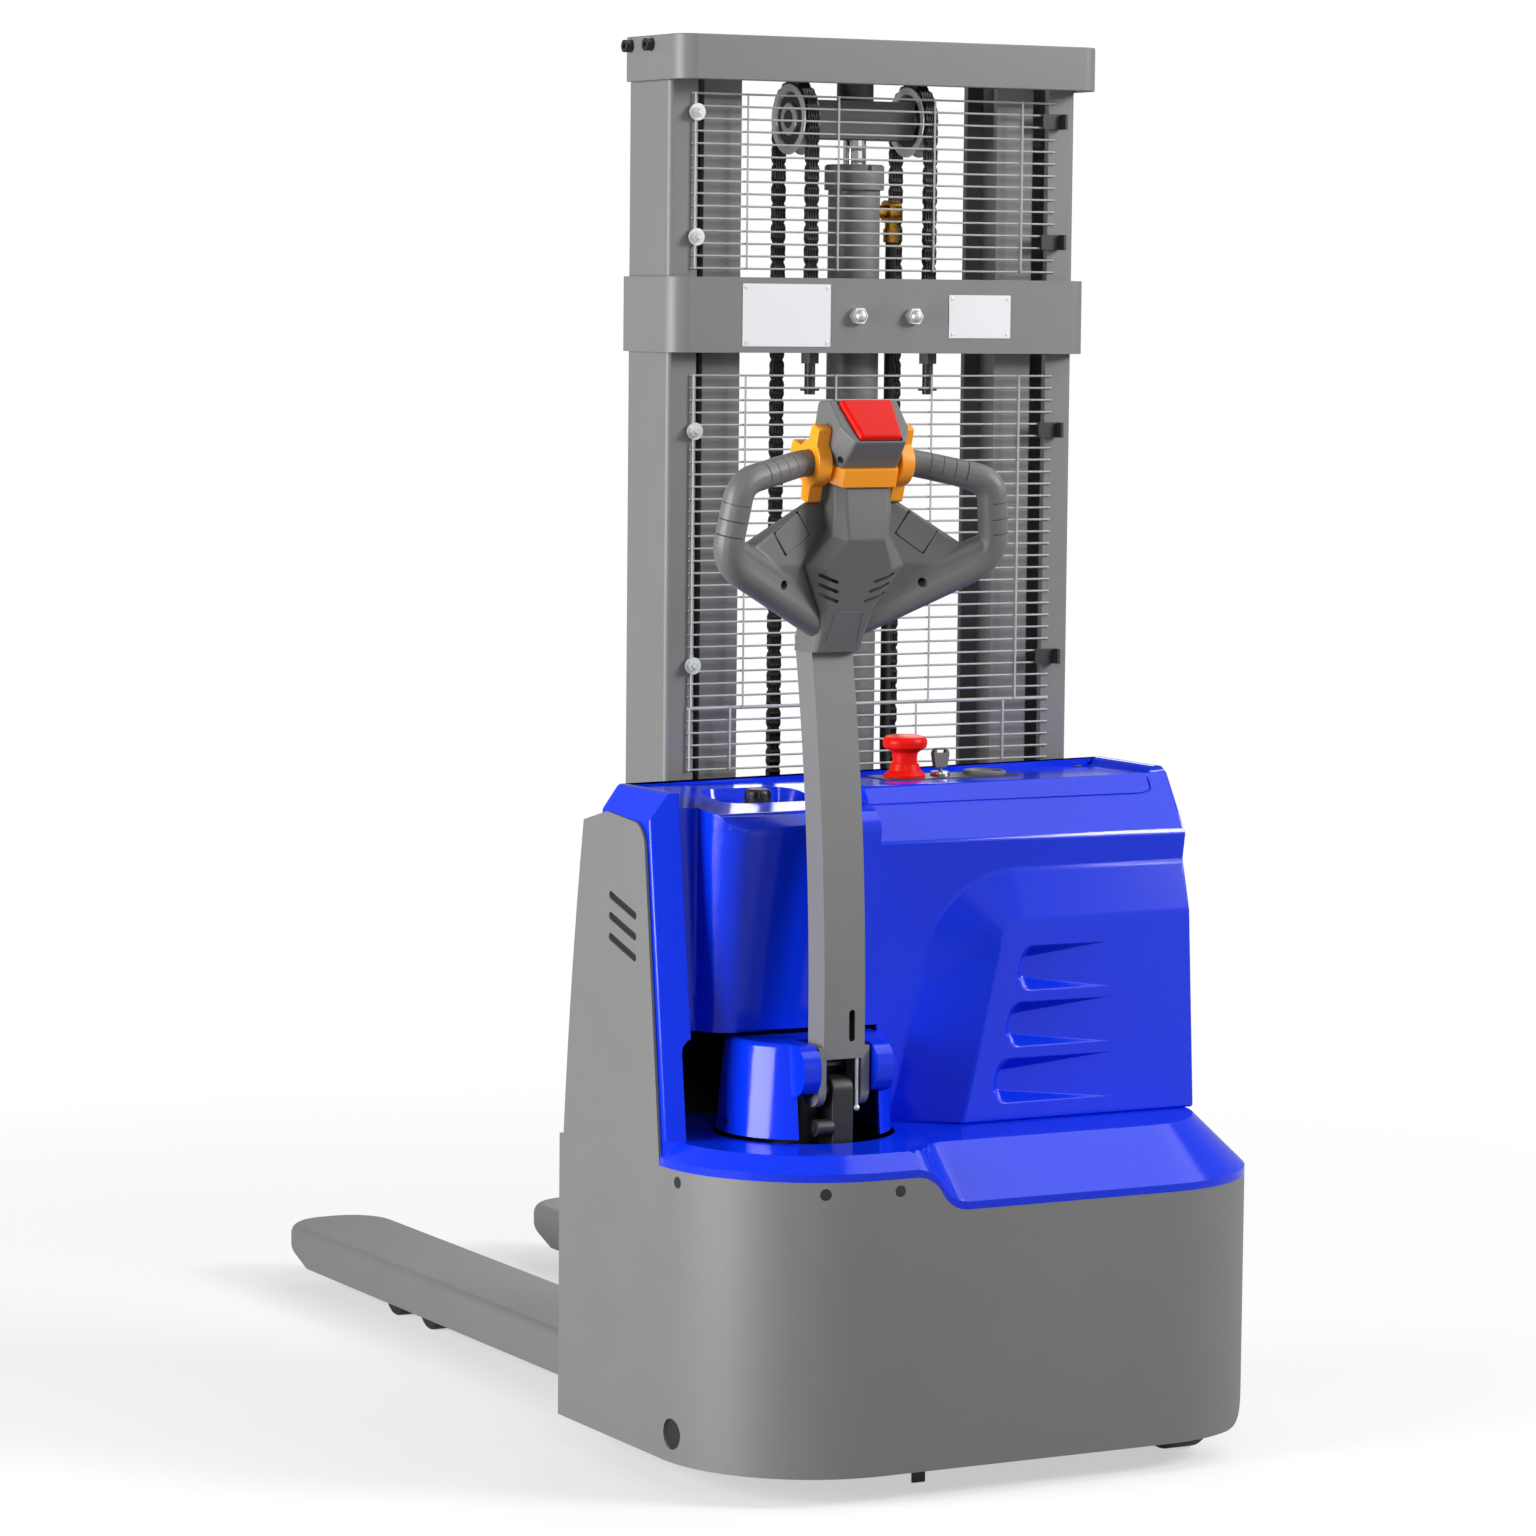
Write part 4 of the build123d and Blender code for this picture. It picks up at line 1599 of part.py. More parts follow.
write("base_frame", base_frame())
write("support_legs", leg(-1), leg(1))
write("outer_channels", *both_sides(outer_channel()))
write("top_crossbeam", top_crossbeam())
write("middle_crossplate", middle_crossplate())
write("skirt", skirt())
write("base_cover", base_cover())
write("main_cover", main_cover())
write("upper_guard", wire_guard(UPPER_GUARD_Z, UPPER_GUARD_ROWS, None))
write("lower_guard", wire_guard(LOWER_GUARD_Z, LOWER_GUARD_ROWS, LOWER_BAR_ROW))
write("guard_bolts", *guard_bolts())
write("guard_clips", *guard_clips())
write("cylinder_barrel", cylinder_barrel())
write("cylinder_gland", cylinder_gland())
write("cylinder_clamp", cylinder_clamp())
write("hose_fitting", hose_fitting())
write("lift_hose", lift_hose())
write("power_pack", power_pack())
write("battery", *battery())
write("controller", controller())
write("battery_gauge", battery_gauge())
write("key_lock", key_lock())
write("key", key())
write("stop_base", *stop_base())
write("stop_button", stop_button())
write("charge_socket", charge_socket())
write("data_plates", *data_plates())
write("frame_screws", *frame_screws())
write("chain_anchors", *chain_anchors())
write("front_chains", *front_chains())
write("rear_chains", *rear_chains())
write("top_mast_rollers", *top_mast_rollers())
write("inner_mast", inner_mast())
write("inner_mast_rollers", *inner_mast_rollers())
write("piston_rod", piston_rod())
write("crosshead", crosshead())
write("chain_wheels", *chain_wheels())
write("carriage_frame", carriage_frame())
write("left_fork", fork(-1))
write("right_fork", fork(1))
write("upper_carriage_rollers", *carriage_rollers(CARRIAGE_ROLLER_HIGH))
write("lower_carriage_rollers", *carriage_rollers(CARRIAGE_ROLLER_LOW))
write("front_load_rollers", *load_rollers(LOAD_ROLLER_Y[1]))
write("rear_load_rollers", *load_rollers(LOAD_ROLLER_Y[0]))
write("drive_gearbox", drive_gearbox())
write("drive_motor", drive_motor())
write("drive_wheel", drive_wheel())
LEFT_COVER, RIGHT_COVER = turntable_cover()
write("left_turntable_cover", LEFT_COVER)
write("right_turntable_cover", RIGHT_COVER)
write("tiller_bracket", tiller_bracket())
write("tiller_arm", tiller_arm())
write("tiller_head", tiller_head())
write("orange_band", orange_band())
write("throttle_wings", *throttle_wings())
write("reverse_button", reverse_button())
write("lift_pad", switch_pad(-1))
write("lower_pad", switch_pad(1))
write("caster_fork", caster_fork())
write("caster_wheel", caster_wheel())
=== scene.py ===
"""Looks of the electric stacker: painted steel, gloss covers, moulded head, leaf chains, wire guards."""
import json
import math

import bmesh
import bpy
from mathutils import Matrix, Vector


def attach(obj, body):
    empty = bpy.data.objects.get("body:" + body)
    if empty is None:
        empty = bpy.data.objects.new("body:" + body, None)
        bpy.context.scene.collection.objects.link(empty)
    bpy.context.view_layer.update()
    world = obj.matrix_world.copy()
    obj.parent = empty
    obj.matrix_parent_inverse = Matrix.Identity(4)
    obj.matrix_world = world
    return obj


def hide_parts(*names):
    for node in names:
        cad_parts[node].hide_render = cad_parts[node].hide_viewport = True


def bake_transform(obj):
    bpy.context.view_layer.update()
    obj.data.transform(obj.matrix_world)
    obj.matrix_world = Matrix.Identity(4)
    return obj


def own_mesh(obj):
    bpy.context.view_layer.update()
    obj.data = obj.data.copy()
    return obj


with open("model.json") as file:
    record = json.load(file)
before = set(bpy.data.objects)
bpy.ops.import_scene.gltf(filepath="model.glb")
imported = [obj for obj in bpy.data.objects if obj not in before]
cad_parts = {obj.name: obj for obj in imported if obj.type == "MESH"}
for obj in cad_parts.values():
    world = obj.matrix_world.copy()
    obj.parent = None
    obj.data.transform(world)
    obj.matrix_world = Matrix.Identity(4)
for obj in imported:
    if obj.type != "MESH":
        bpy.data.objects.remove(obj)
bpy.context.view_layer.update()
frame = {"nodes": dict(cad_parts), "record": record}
BODY_OF = {node: body for body, nodes in frame["record"]["behaviour"]["bodies"].items() for node in nodes}
SLOT_OF = {node: obj.data.materials[0].name.split(".")[0] for node, obj in frame["nodes"].items()}
MM = 0.001

# Places shared with the solids, in millimetres
FRONT = -863.0
STEER_X, STEER_Y = -202.0, -638.0
PIVOT_Y = -722.0
MAST_FRONT, MAST_MID = -440.0, -382.5
PLATE_FRONT = -468.0
COVER_TOP, LEDGE_TOP = 868.0, 437.0
CONTROL_Y, GAUGE_X = -533.0, 120.0
TIE_HOLE, TIE_HOLE_R = (FRONT + 182, 74), 19.5
BARE_PLATES, BARE_PLATE_Z = ((-145, 128, 80), (142, 93, 56)), 1462
CHAIN_X, CHAIN_R, WHEEL_Z = 88.0, 45.0, 1715.0
ANCHOR_TOP, LUG_TOP = 1456.0, 418.0
GUARD_HALF, WIRE_R, GUARD_PITCH = 270.0, 1.35, 15.8
GUARD_Y = MAST_FRONT - 1.6
GUARD_BARS = (-266.0, -191.0, -58.0, 85.0, 218.0)
UPPER_GUARD_Z, UPPER_ROWS = 1521.0, 15
LOWER_GUARD_Z, LOWER_ROWS = 879.0, 33
HEAD = Matrix.Translation((STEER_X, FRONT + 180, 1038)) @ Matrix.Rotation(math.radians(17), 4, "X")


# Materials

def linear(code):
    """An sRGB hex colour as linear values."""
    parts = [int(code[i:i + 2], 16) / 255 for i in (1, 3, 5)]
    return [p / 12.92 if p <= 0.04045 else ((p + 0.055) / 1.055) ** 2.4 for p in parts] + [1.0]


def add(tree, kind, inputs=(), **settings):
    """Adds a node, sets it up, and sets or links its inputs."""
    made = tree.nodes.new(kind)
    for key, value in settings.items():
        setattr(made, key, value)
    for key, value in dict(inputs).items():
        if isinstance(value, bpy.types.NodeSocket):
            tree.links.new(value, made.inputs[key])
        else:
            made.inputs[key].default_value = value
    return made


def surface(name, colours, roughness, grain_mm, depth_mm, patch_mm=90, metallic=0.0, specular=0.5):
    """A surface with a fine grain, a slow drift between two colours and an uneven sheen.

    Pattern scales are cycles per metre, worked out from sizes in millimetres.
    """
    material = bpy.data.materials.new(name)
    material.use_nodes = True
    tree = material.node_tree
    tree.nodes.clear()
    place = add(tree, "ShaderNodeTexCoord").outputs["Object"]
    drift = add(tree, "ShaderNodeTexNoise", {"Vector": place, "Scale": 1000 / patch_mm, "Detail": 3.0})
    colour = add(tree, "ShaderNodeMix", {0: drift.outputs[0], 6: linear(colours[0]), 7: linear(colours[1])},
                 data_type="RGBA")
    grain = add(tree, "ShaderNodeTexNoise", {"Vector": place, "Scale": 1000 / grain_mm, "Detail": 2.0})
    sheen = add(tree, "ShaderNodeMapRange",
                {"Value": grain.outputs[0], "To Min": roughness[0], "To Max": roughness[1]})
    bump = add(tree, "ShaderNodeBump", {"Height": grain.outputs[0], "Distance": depth_mm * MM})
    shader = add(tree, "ShaderNodeBsdfPrincipled",
                 {"Base Color": colour.outputs[2], "Roughness": sheen.outputs[0], "Normal": bump.outputs[0],
                  "Metallic": metallic, "Specular IOR Level": specular})
    add(tree, "ShaderNodeOutputMaterial", {"Surface": shader.outputs[0]})
    return material


# Powder coat on steel sheet: satin, with a fine orange peel
GREY = surface("powder_coated_steel", ("#727272", "#787878"), (0.42, 0.54), 1.6, 0.04)
# Primer on the lift head: the same sprayed skin, darker and duller
DIM_GREY = surface("primed_steel", ("#454545", "#4e4e4e"), (0.42, 0.55), 1.6, 0.05)
# Black enamel on steel: satin, nearly without colour
BLACK = surface("black_painted_steel", ("#141414", "#1b1b1b"), (0.35, 0.5), 1.6, 0.04)
# Gloss ABS sheet, formed: a smooth skin with clear reflections
BLUE = surface("gloss_blue_abs", ("#062ed8", "#0832de"), (0.12, 0.16), 6.0, 0.015, 160, specular=0.3)
# Glass-filled nylon: matt, with a spark-eroded grain drawn a little coarse so that it shows
PLASTIC = surface("moulded_grey_nylon", ("#646464", "#6a6a6a"), (0.42, 0.55), 1.1, 0.06)
# Nylon dyed in the mass: the same grain, with a little more sheen
ORANGE = surface("orange_nylon", ("#fc9a10", "#ffa216"), (0.32, 0.42), 1.1, 0.04)
# Moulded ABS of the stop and reverse buttons: smooth, half gloss
RED = surface("red_abs", ("#d8140c", "#de1a10"), (0.3, 0.4), 2.0, 0.02, specular=0.12)
# Bright zinc plate: pale metal with an uneven shine
ZINC = surface("zinc_plated_steel", ("#c4c6c8", "#d6d8da"), (0.26, 0.4), 1.5, 0.03, metallic=0.6)
# Ground roller steel: plain grey metal, finely scratched
STEEL = surface("ground_steel", ("#8c8c8e", "#a0a0a2"), (0.25, 0.4), 1.0, 0.03, metallic=1.0)
# Satin aluminium sheet: nearly white, with a soft even shine
PLATE = surface("satin_aluminium", ("#e0e2e4", "#e8eaec"), (0.38, 0.48), 0.8, 0.01)
# Drawn wire under a dull zinc skin: flat light grey
WIRE = surface("galvanised_wire", ("#a2a3a4", "#aeafb0"), (0.45, 0.6), 1.0, 0.02, 20)
# Hard chrome, ground and polished: close to a mirror
CHROME = surface("hard_chrome", ("#d9dbdd", "#e2e4e6"), (0.05, 0.1), 2.0, 0.005, metallic=1.0)
# Turned brass: warm yellow metal
BRASS = surface("plated_brass", ("#b8822e", "#c8923a"), (0.2, 0.34), 1.5, 0.03, metallic=1.0)
# Extruded rubber of the hose: black and matt; the same black is also painted shade in the sheets behind
# openings
RUBBER_AND_SHADE = surface("black_rubber_and_painted_shade", ("#111111", "#181818"), (0.5, 0.65), 1.2, 0.06)
# Painted cast iron: dark and matt, with the sand mould's rough skin
CAST = surface("cast_iron_paint", ("#262626", "#303030"), (0.5, 0.65), 2.2, 0.2)
# Cast polyurethane: smooth and dark, with a dull sheen
TYRE = surface("polyurethane_tyre", ("#161616", "#1e1e1e"), (0.4, 0.5), 2.0, 0.05)
# Oiled chain steel: dark metal that looks wet, mottled link by link
OILED = surface("oiled_chain_steel", ("#24221f", "#38342f"), (0.22, 0.4), 3.0, 0.05, 12, metallic=0.6)
FINISHES = {"grey_paint": GREY, "black_paint": BLACK, "blue_cover": BLUE, "dark_plastic": PLASTIC,
            "orange_plastic": ORANGE, "red_plastic": RED, "zinc_steel": ZINC, "bearing_steel": STEEL,
            "bare_plate": PLATE, "chrome": CHROME, "brass": BRASS, "hose_rubber": RUBBER_AND_SHADE, "cast_iron": CAST,
            "poly_tyre": TYRE}


# Mesh tools

def ease_edges(shape, edges, width, steps=2, clamp=True):
    """Rounds the given edges."""
    bmesh.ops.bevel(shape, geom=edges, offset=width, offset_type="OFFSET", affect="EDGES", segments=steps,
                    profile=0.5, material=-1, clamp_overlap=clamp)


def join(shape, part, place=None):
    """Moves a finished part into a larger shape."""
    if place is not None:
        bmesh.ops.transform(part, matrix=place, verts=part.verts)
    mesh = bpy.data.meshes.new("part")
    part.to_mesh(mesh)
    part.free()
    shape.from_mesh(mesh)
    bpy.data.meshes.remove(mesh)


def box(shape, low, high, ease=0.0, steps=2, place=None):
    """A block with eased edges."""
    part = bmesh.new()
    bmesh.ops.create_cube(part, size=1.0)
    low, high = Vector(low), Vector(high)
    bmesh.ops.scale(part, vec=high - low, verts=part.verts)
    bmesh.ops.translate(part, vec=(low + high) / 2, verts=part.verts)
    if ease:
        ease_edges(part, part.edges[:], ease, steps)
    join(shape, part, place)


def rod(shape, start, end, radius, sides=20, ease=0.0, end_radius=None, place=None):
    """A round bar between two points, with eased rims."""
    start, end = Vector(start), Vector(end)
    along = end - start
    part = bmesh.new()
    bmesh.ops.create_cone(part, cap_ends=True, segments=sides, radius1=radius,
                          radius2=radius if end_radius is None else end_radius, depth=along.length)
    if ease:
        rims = [e for e in part.edges if abs(e.verts[0].co.z - e.verts[1].co.z) < ease / 10]
        ease_edges(part, rims, ease)
    turn = along.to_track_quat("Z", "Y").to_matrix().to_4x4()
    bmesh.ops.transform(part, matrix=Matrix.Translation((start + end) / 2) @ turn, verts=part.verts)
    join(shape, part, place)


def turned(shape, profile, place, steps=40):
    """A turned part: a profile of radius and height, spun about the local Z axis."""
    part = bmesh.new()
    points = [part.verts.new((radius, 0, height)) for radius, height in profile]
    lines = [part.edges.new(pair) for pair in zip(points, points[1:])]
    bmesh.ops.spin(part, geom=points + lines, cent=(0, 0, 0), axis=(0, 0, 1), angle=2 * math.pi, steps=steps,
                   use_merge=True)
    bmesh.ops.remove_doubles(part, verts=part.verts, dist=1e-4)
    bmesh.ops.dissolve_degenerate(part, dist=1e-4, edges=part.edges)
    bmesh.ops.recalc_face_normals(part, faces=part.faces)
    join(shape, part, place)


def prism(shape, outline, depth, place=None, ease=0.0, steps=2):
    """A flat outline drawn out along the local Z axis."""
    part = bmesh.new()
    face = part.faces.new([part.verts.new((x, y, 0)) for x, y in outline])
    drawn = bmesh.ops.extrude_face_region(part, geom=[face])
    bmesh.ops.translate(part, vec=(0, 0, depth),
                        verts=[v for v in drawn["geom"] if isinstance(v, bmesh.types.BMVert)])
    bmesh.ops.recalc_face_normals(part, faces=part.faces)
    if ease:
        ease_edges(part, sharp_edges(part, 40), ease, steps)
    join(shape, part, place)


def rounded(width, height, radius, steps=6):
    """A rounded rectangle's outline about the origin."""
    points = []
    for x, y, quarter in ((1, 1, 0), (-1, 1, 1), (-1, -1, 2), (1, -1, 3)):
        for i in range(steps + 1):
            angle = (quarter + i / steps) * math.pi / 2
            points.append((x * (width / 2 - radius) + radius * math.cos(angle),
                           y * (height / 2 - radius) + radius * math.sin(angle)))
    return points


def facing(origin, across, up):
    """A place whose local X runs across and whose local Y runs up."""
    across, up = Vector(across).normalized(), Vector(up).normalized()
    out = across.cross(up)
    turn = Matrix((across, up, out)).transposed().to_4x4()
    return Matrix.Translation(origin) @ turn


def piece(name, shape, finish, body, nodes=(), unit=MM, corner=35, ride=True):
    """Turns a shape into a finished piece that rides on a body."""
    bmesh.ops.scale(shape, vec=(unit, unit, unit), verts=shape.verts)
    mesh = bpy.data.meshes.new(name)
    shape.to_mesh(mesh)
    shape.free()
    mesh.shade_smooth()
    mesh.set_sharp_from_angle(angle=math.radians(corner))
    mesh.materials.append(finish)
    obj = bpy.data.objects.new(name, mesh)
    bpy.context.scene.collection.objects.link(obj)
    flats = obj.modifiers.new("flat_faces", "WEIGHTED_NORMAL")
    flats.keep_sharp = True
    if ride:
        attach(obj, body)
    if nodes:
        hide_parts(*nodes)
    return obj


def cad_copy(node):
    """A merged copy of a node's mesh with its flat faces whole again."""
    shape = bmesh.new()
    shape.from_mesh(frame["nodes"][node].data)
    bmesh.ops.remove_doubles(shape, verts=shape.verts, dist=1e-5)
    bmesh.ops.dissolve_limit(shape, angle_limit=math.radians(0.5), verts=shape.verts, edges=shape.edges)
    return shape


def sharp_edges(shape, corner, thin=0.0, wanted=None):
    """Edges that turn by more than an angle, apart from thin walls; wanted tests an edge's middle."""
    found = []
    for edge in shape.edges:
        if not edge.is_manifold or edge.calc_length() < 1e-6:
            continue
        if edge.calc_face_angle() < math.radians(corner):
            continue
        if thin and min(f.calc_area() for f in edge.link_faces) / edge.calc_length() < thin * MM:
            continue
        if wanted and not wanted((edge.verts[0].co + edge.verts[1].co) / 2 / MM):
            continue
        found.append(edge)
    return found


def dressed(node, shape, finish=None, corner=35):
    """A finished shape in metres that takes a node's place."""
    return piece(node + "_dressed", shape, finish or FINISHES[SLOT_OF[node]], BODY_OF[node],
                 (node,), unit=1.0, corner=corner)


def dress(node, ease, steps=2, corner=40, finish=None, thin=0.0):
    """A copy of a node with eased edges, which takes the node's place."""
    shape = cad_copy(node)
    edges = sharp_edges(shape, corner, thin)
    if edges:
        ease_edges(shape, edges, ease * MM, steps)
    return dressed(node, shape, finish)


# Light, floor and camera

MIRROR_SHARE = 0.33
# Name, place and aim in metres, width and height in metres, watts
LAMPS = (("left_bank", (-4.6, -0.7, 1.4), (0, -0.5, 1.0), (2.6, 2.6), 310),
         ("front_bank", (4.0, -4.0, 3.4), (0, -0.6, 0.9), (1.6, 1.6), 270),
         ("top_card", (2.4, -1.4, 4.6), (0, -0.5, 0.9), (4.0, 3.0), 90),
         ("front_card", (2.6, -5.2, 1.2), (0, -0.6, 0.8), (4.0, 3.0), 25),
         ("front_left", (-1.4, -3.8, 2.6), (0, -0.6, 0.9), (0.8, 0.8), 18),
         ("rear_bank", (2.6, 3.4, 3.0), (0, -0.2, 0.9), (2.2, 2.2), 60))
# Camera: place in metres, yaw, pitch and roll in degrees, lens in millimetres
CAMERA_PLACE, CAMERA_TURN, CAMERA_LENS = (-3.3603, -6.3762, 1.4847), (28.4, 5.14, 0.56), 122.63


def background_share(tree):
    """How much of the white background a ray sees: all for the camera, some in mirrors, none as light."""
    rays = add(tree, "ShaderNodeLightPath").outputs
    clear = add(tree, "ShaderNodeMath", {0: rays["Is Camera Ray"], 1: rays["Is Transmission Ray"]},
                operation="ADD", use_clamp=True)
    return add(tree, "ShaderNodeMath", {0: rays["Is Glossy Ray"], 1: MIRROR_SHARE, 2: clear.outputs[0]},
               operation="MULTIPLY_ADD", use_clamp=True).outputs[0]


def studio():
    """White surroundings, a floor that keeps the shadow, and the lamps."""
    scene = bpy.context.scene
    scene.view_settings.view_transform = "Standard"
    world = bpy.data.worlds.new("white_studio")
    world.use_nodes = True
    scene.world = world
    tree = world.node_tree
    tree.nodes.clear()
    level = add(tree, "ShaderNodeMapRange", {"Value": background_share(tree), "To Min": 0.05, "To Max": 1.0})
    back = add(tree, "ShaderNodeBackground", {"Color": (1, 1, 1, 1), "Strength": level.outputs[0]})
    add(tree, "ShaderNodeOutputWorld", {"Surface": back.outputs[0]})
    floor_mesh = bpy.data.meshes.new("studio_floor")
    shape = bmesh.new()
    bmesh.ops.create_grid(shape, x_segments=1, y_segments=1, size=60)
    shape.to_mesh(floor_mesh)
    shape.free()
    floor = bpy.data.objects.new("studio_floor", floor_mesh)
    scene.collection.objects.link(floor)
    material = bpy.data.materials.new("white_paper")
    material.use_nodes = True
    tree = material.node_tree
    tree.nodes.clear()
    seen = background_share(tree)
    tone = add(tree, "ShaderNodeMapRange", {"Value": seen, "To Min": 0.14, "To Max": 0.9})
    paper = add(tree, "ShaderNodeBsdfDiffuse", {"Color": tone.outputs[0]})
    glow = add(tree, "ShaderNodeEmission", {"Color": (1, 1, 1, 1), "Strength": 1.0})
    place = add(tree, "ShaderNodeTexCoord").outputs["Object"]
    away = add(tree, "ShaderNodeVectorMath", {0: place}, operation="LENGTH")
    white = add(tree, "ShaderNodeMapRange", {"Value": away.outputs["Value"], "From Min": 1.0,
                                             "From Max": 2.6, "To Min": 0.55, "To Max": 1.0})
    share = add(tree, "ShaderNodeMath", {0: seen, 1: white.outputs[0]}, operation="MULTIPLY")
    mix = add(tree, "ShaderNodeMixShader", {0: share.outputs[0], 1: paper.outputs[0], 2: glow.outputs[0]})
    add(tree, "ShaderNodeOutputMaterial", {"Surface": mix.outputs[0]})
    floor_mesh.materials.append(material)
    for name, place, aim, size, power in LAMPS:
        lamp = bpy.data.lights.new(name, "AREA")
        lamp.shape = "RECTANGLE"
        lamp.size, lamp.size_y = size
        lamp.energy = power
        obj = bpy.data.objects.new(name, lamp)
        obj.location = place
        obj.rotation_euler = (Vector(aim) - Vector(place)).to_track_quat("-Z", "Y").to_euler()
        scene.collection.objects.link(obj)


def camera():
    """The photograph's own place and angle."""
    yaw, pitch, roll = (math.radians(a) for a in CAMERA_TURN)
    look = Vector((math.sin(yaw) * math.cos(pitch), math.cos(yaw) * math.cos(pitch), -math.sin(pitch)))
    right = Vector((math.cos(yaw), -math.sin(yaw), 0))
    up = right.cross(look)
    across = right * math.cos(roll) + up * math.sin(roll)
    over = up * math.cos(roll) - right * math.sin(roll)
    data = bpy.data.cameras.new("camera")
    data.sensor_width = 36
    data.lens = CAMERA_LENS
    obj = bpy.data.objects.new("camera", data)
    turn = Matrix((across, over, -look)).transposed().to_4x4()
    obj.matrix_world = Matrix.Translation(CAMERA_PLACE) @ turn
    bpy.context.scene.collection.objects.link(obj)
    bpy.context.scene.camera = obj


camera()
studio()
for node, obj in frame["nodes"].items():
    obj.data.materials.clear()
    obj.data.materials.append(FINISHES[SLOT_OF[node]])


# Lift hose

def lift_hose():
    """The pressure hose: straight down beside the cylinder, then a wide bend into the bulkhead."""
    x = 55.7
    route = [(x, MAST_MID, 1558), (x, MAST_MID, 977), (x, MAST_MID, 806), (x, PLATE_FRONT, 806)]
    curve = bpy.data.curves.new("lift_hose_line", "CURVE")
    curve.dimensions = "3D"
    spline = curve.splines.new("NURBS")
    spline.points.add(len(route) - 1)
    for point, place in zip(spline.points, route):
        point.co = (*(Vector(place) * MM), 1.0)
    spline.order_u = 3
    spline.use_endpoint_u = True
    spline.resolution_u = 24
    curve.bevel_depth = 7.0 * MM
    curve.bevel_resolution = 6
    curve.use_fill_caps = True
    obj = bpy.data.objects.new("lift_hose_line", curve)
    bpy.context.scene.collection.objects.link(obj)
    curve.materials.append(RUBBER_AND_SHADE)
    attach(obj, "chassis")
    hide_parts("lift_hose")


lift_hose()


# Tiller head, in its own upright frame

def head_level(half, face, front, set_back, back=24.0):
    """A level cut through the head: flat back, slanted front corners."""
    corner = front + set_back
    return [(-half, back), (-half, corner), (-face, front), (face, front), (half, corner), (half, back)]


def loft(shape, levels):
    """A closed skin through level outlines, each given with its height."""
    part = bmesh.new()
    rings = []
    for height, outline in levels:
        points = [part.verts.new((x, y, height)) for x, y in outline]
        rings.append([part.edges.new(pair) for pair in zip(points, points[1:] + points[:1])])
    for lower, upper in zip(rings, rings[1:]):
        bmesh.ops.bridge_loops(part, edges=lower + upper)
    bmesh.ops.holes_fill(part, edges=part.edges, sides=0)
    bmesh.ops.recalc_face_normals(part, faces=part.faces)
    join(shape, part)


def slice_off(part, point, out):
    """Cuts away what lies beyond a plane and closes the cut."""
    cut = bmesh.ops.bisect_plane(part, geom=part.verts[:] + part.edges[:] + part.faces[:], plane_co=point,
                                 plane_no=out, clear_outer=True)
    rim = [e for e in cut["geom_cut"] if isinstance(e, bmesh.types.BMEdge)]
    bmesh.ops.holes_fill(part, edges=rim, sides=0)


def tube(shape, route, radius, thick=None):
    """A round tube along a smooth line; thick gives each point's share of the radius."""
    curve = bpy.data.curves.new("tube", "CURVE")
    curve.dimensions = "3D"
    spline = curve.splines.new("NURBS")
    spline.points.add(len(route) - 1)
    for i, (point, place) in enumerate(zip(spline.points, route)):
        point.co = (*place, 1.0)
        point.radius = thick[i] if thick else 1.0
    spline.order_u = 3
    spline.use_endpoint_u = True
    spline.resolution_u = 10
    curve.bevel_depth = radius
    curve.bevel_resolution = 5
    curve.use_fill_caps = True
    holder = bpy.data.objects.new("tube", curve)
    mesh = bpy.data.meshes.new_from_object(holder)
    bpy.data.objects.remove(holder)
    bpy.data.curves.remove(curve)
    shape.from_mesh(mesh)
    bpy.data.meshes.remove(mesh)


def shape_object(name, shape):
    """A plain working object for the modifiers that fuse and cut shapes."""
    mesh = bpy.data.meshes.new(name)
    shape.to_mesh(mesh)
    shape.free()
    obj = bpy.data.objects.new(name, mesh)
    bpy.context.scene.collection.objects.link(obj)
    return obj


def settled(obj):
    """The object's mesh with its modifiers applied, as a shape; the object goes."""
    mesh = bpy.data.meshes.new_from_object(obj.evaluated_get(bpy.context.evaluated_depsgraph_get()))
    shape = bmesh.new()
    shape.from_mesh(mesh)
    bpy.data.meshes.remove(mesh)
    bpy.data.objects.remove(obj)
    return shape


def fuse(shape, grain, rounds):
    """Fuses overlapping parts into one moulded skin and softens its edges."""
    obj = shape_object("fused", shape)
    skin = obj.modifiers.new("skin", "REMESH")
    skin.mode = "VOXEL"
    skin.voxel_size = grain
    soft = obj.modifiers.new("soft", "SMOOTH")
    soft.factor = 0.5
    soft.iterations = rounds
    return settled(obj)


def cut(shape, tools):
    """Takes the tools' volume out of a shape."""
    body, cutter = shape_object("body", shape), shape_object("cutter", tools)
    carve = body.modifiers.new("carve", "BOOLEAN")
    carve.operation = "DIFFERENCE"
    carve.object = cutter
    carve.solver = "EXACT"
    result = settled(body)
    bpy.data.objects.remove(cutter)
    return result


GRIP_ROUTE = [(40, 2, 256), (62, 2, 256), (80, 1, 255.6), (131, -18, 249.5), (176, -34, 244),
              (181.6, -39.6, 206), (190, -48, 146), (122, -33, 106), (28, -12, 50)]
GRIP_R = 17.0
GRIP_SHARES = (1.0, 1.0, 1.0, 1.02, 1.06, 1.1, 1.06, 1.04, 1.04)
TOP_GROOVES = ((98, -6, 253.5), (113, -11.5, 252), (128, -17, 250), (143, -22, 248))
SIDE_GROOVES = ((181, -39, 218), (183, -41, 198), (185.5, -43.5, 179))
COLLAR_END = 1047.0
SWEEP, LEAN = 28.0 / 152.0, math.tan(math.radians(18))


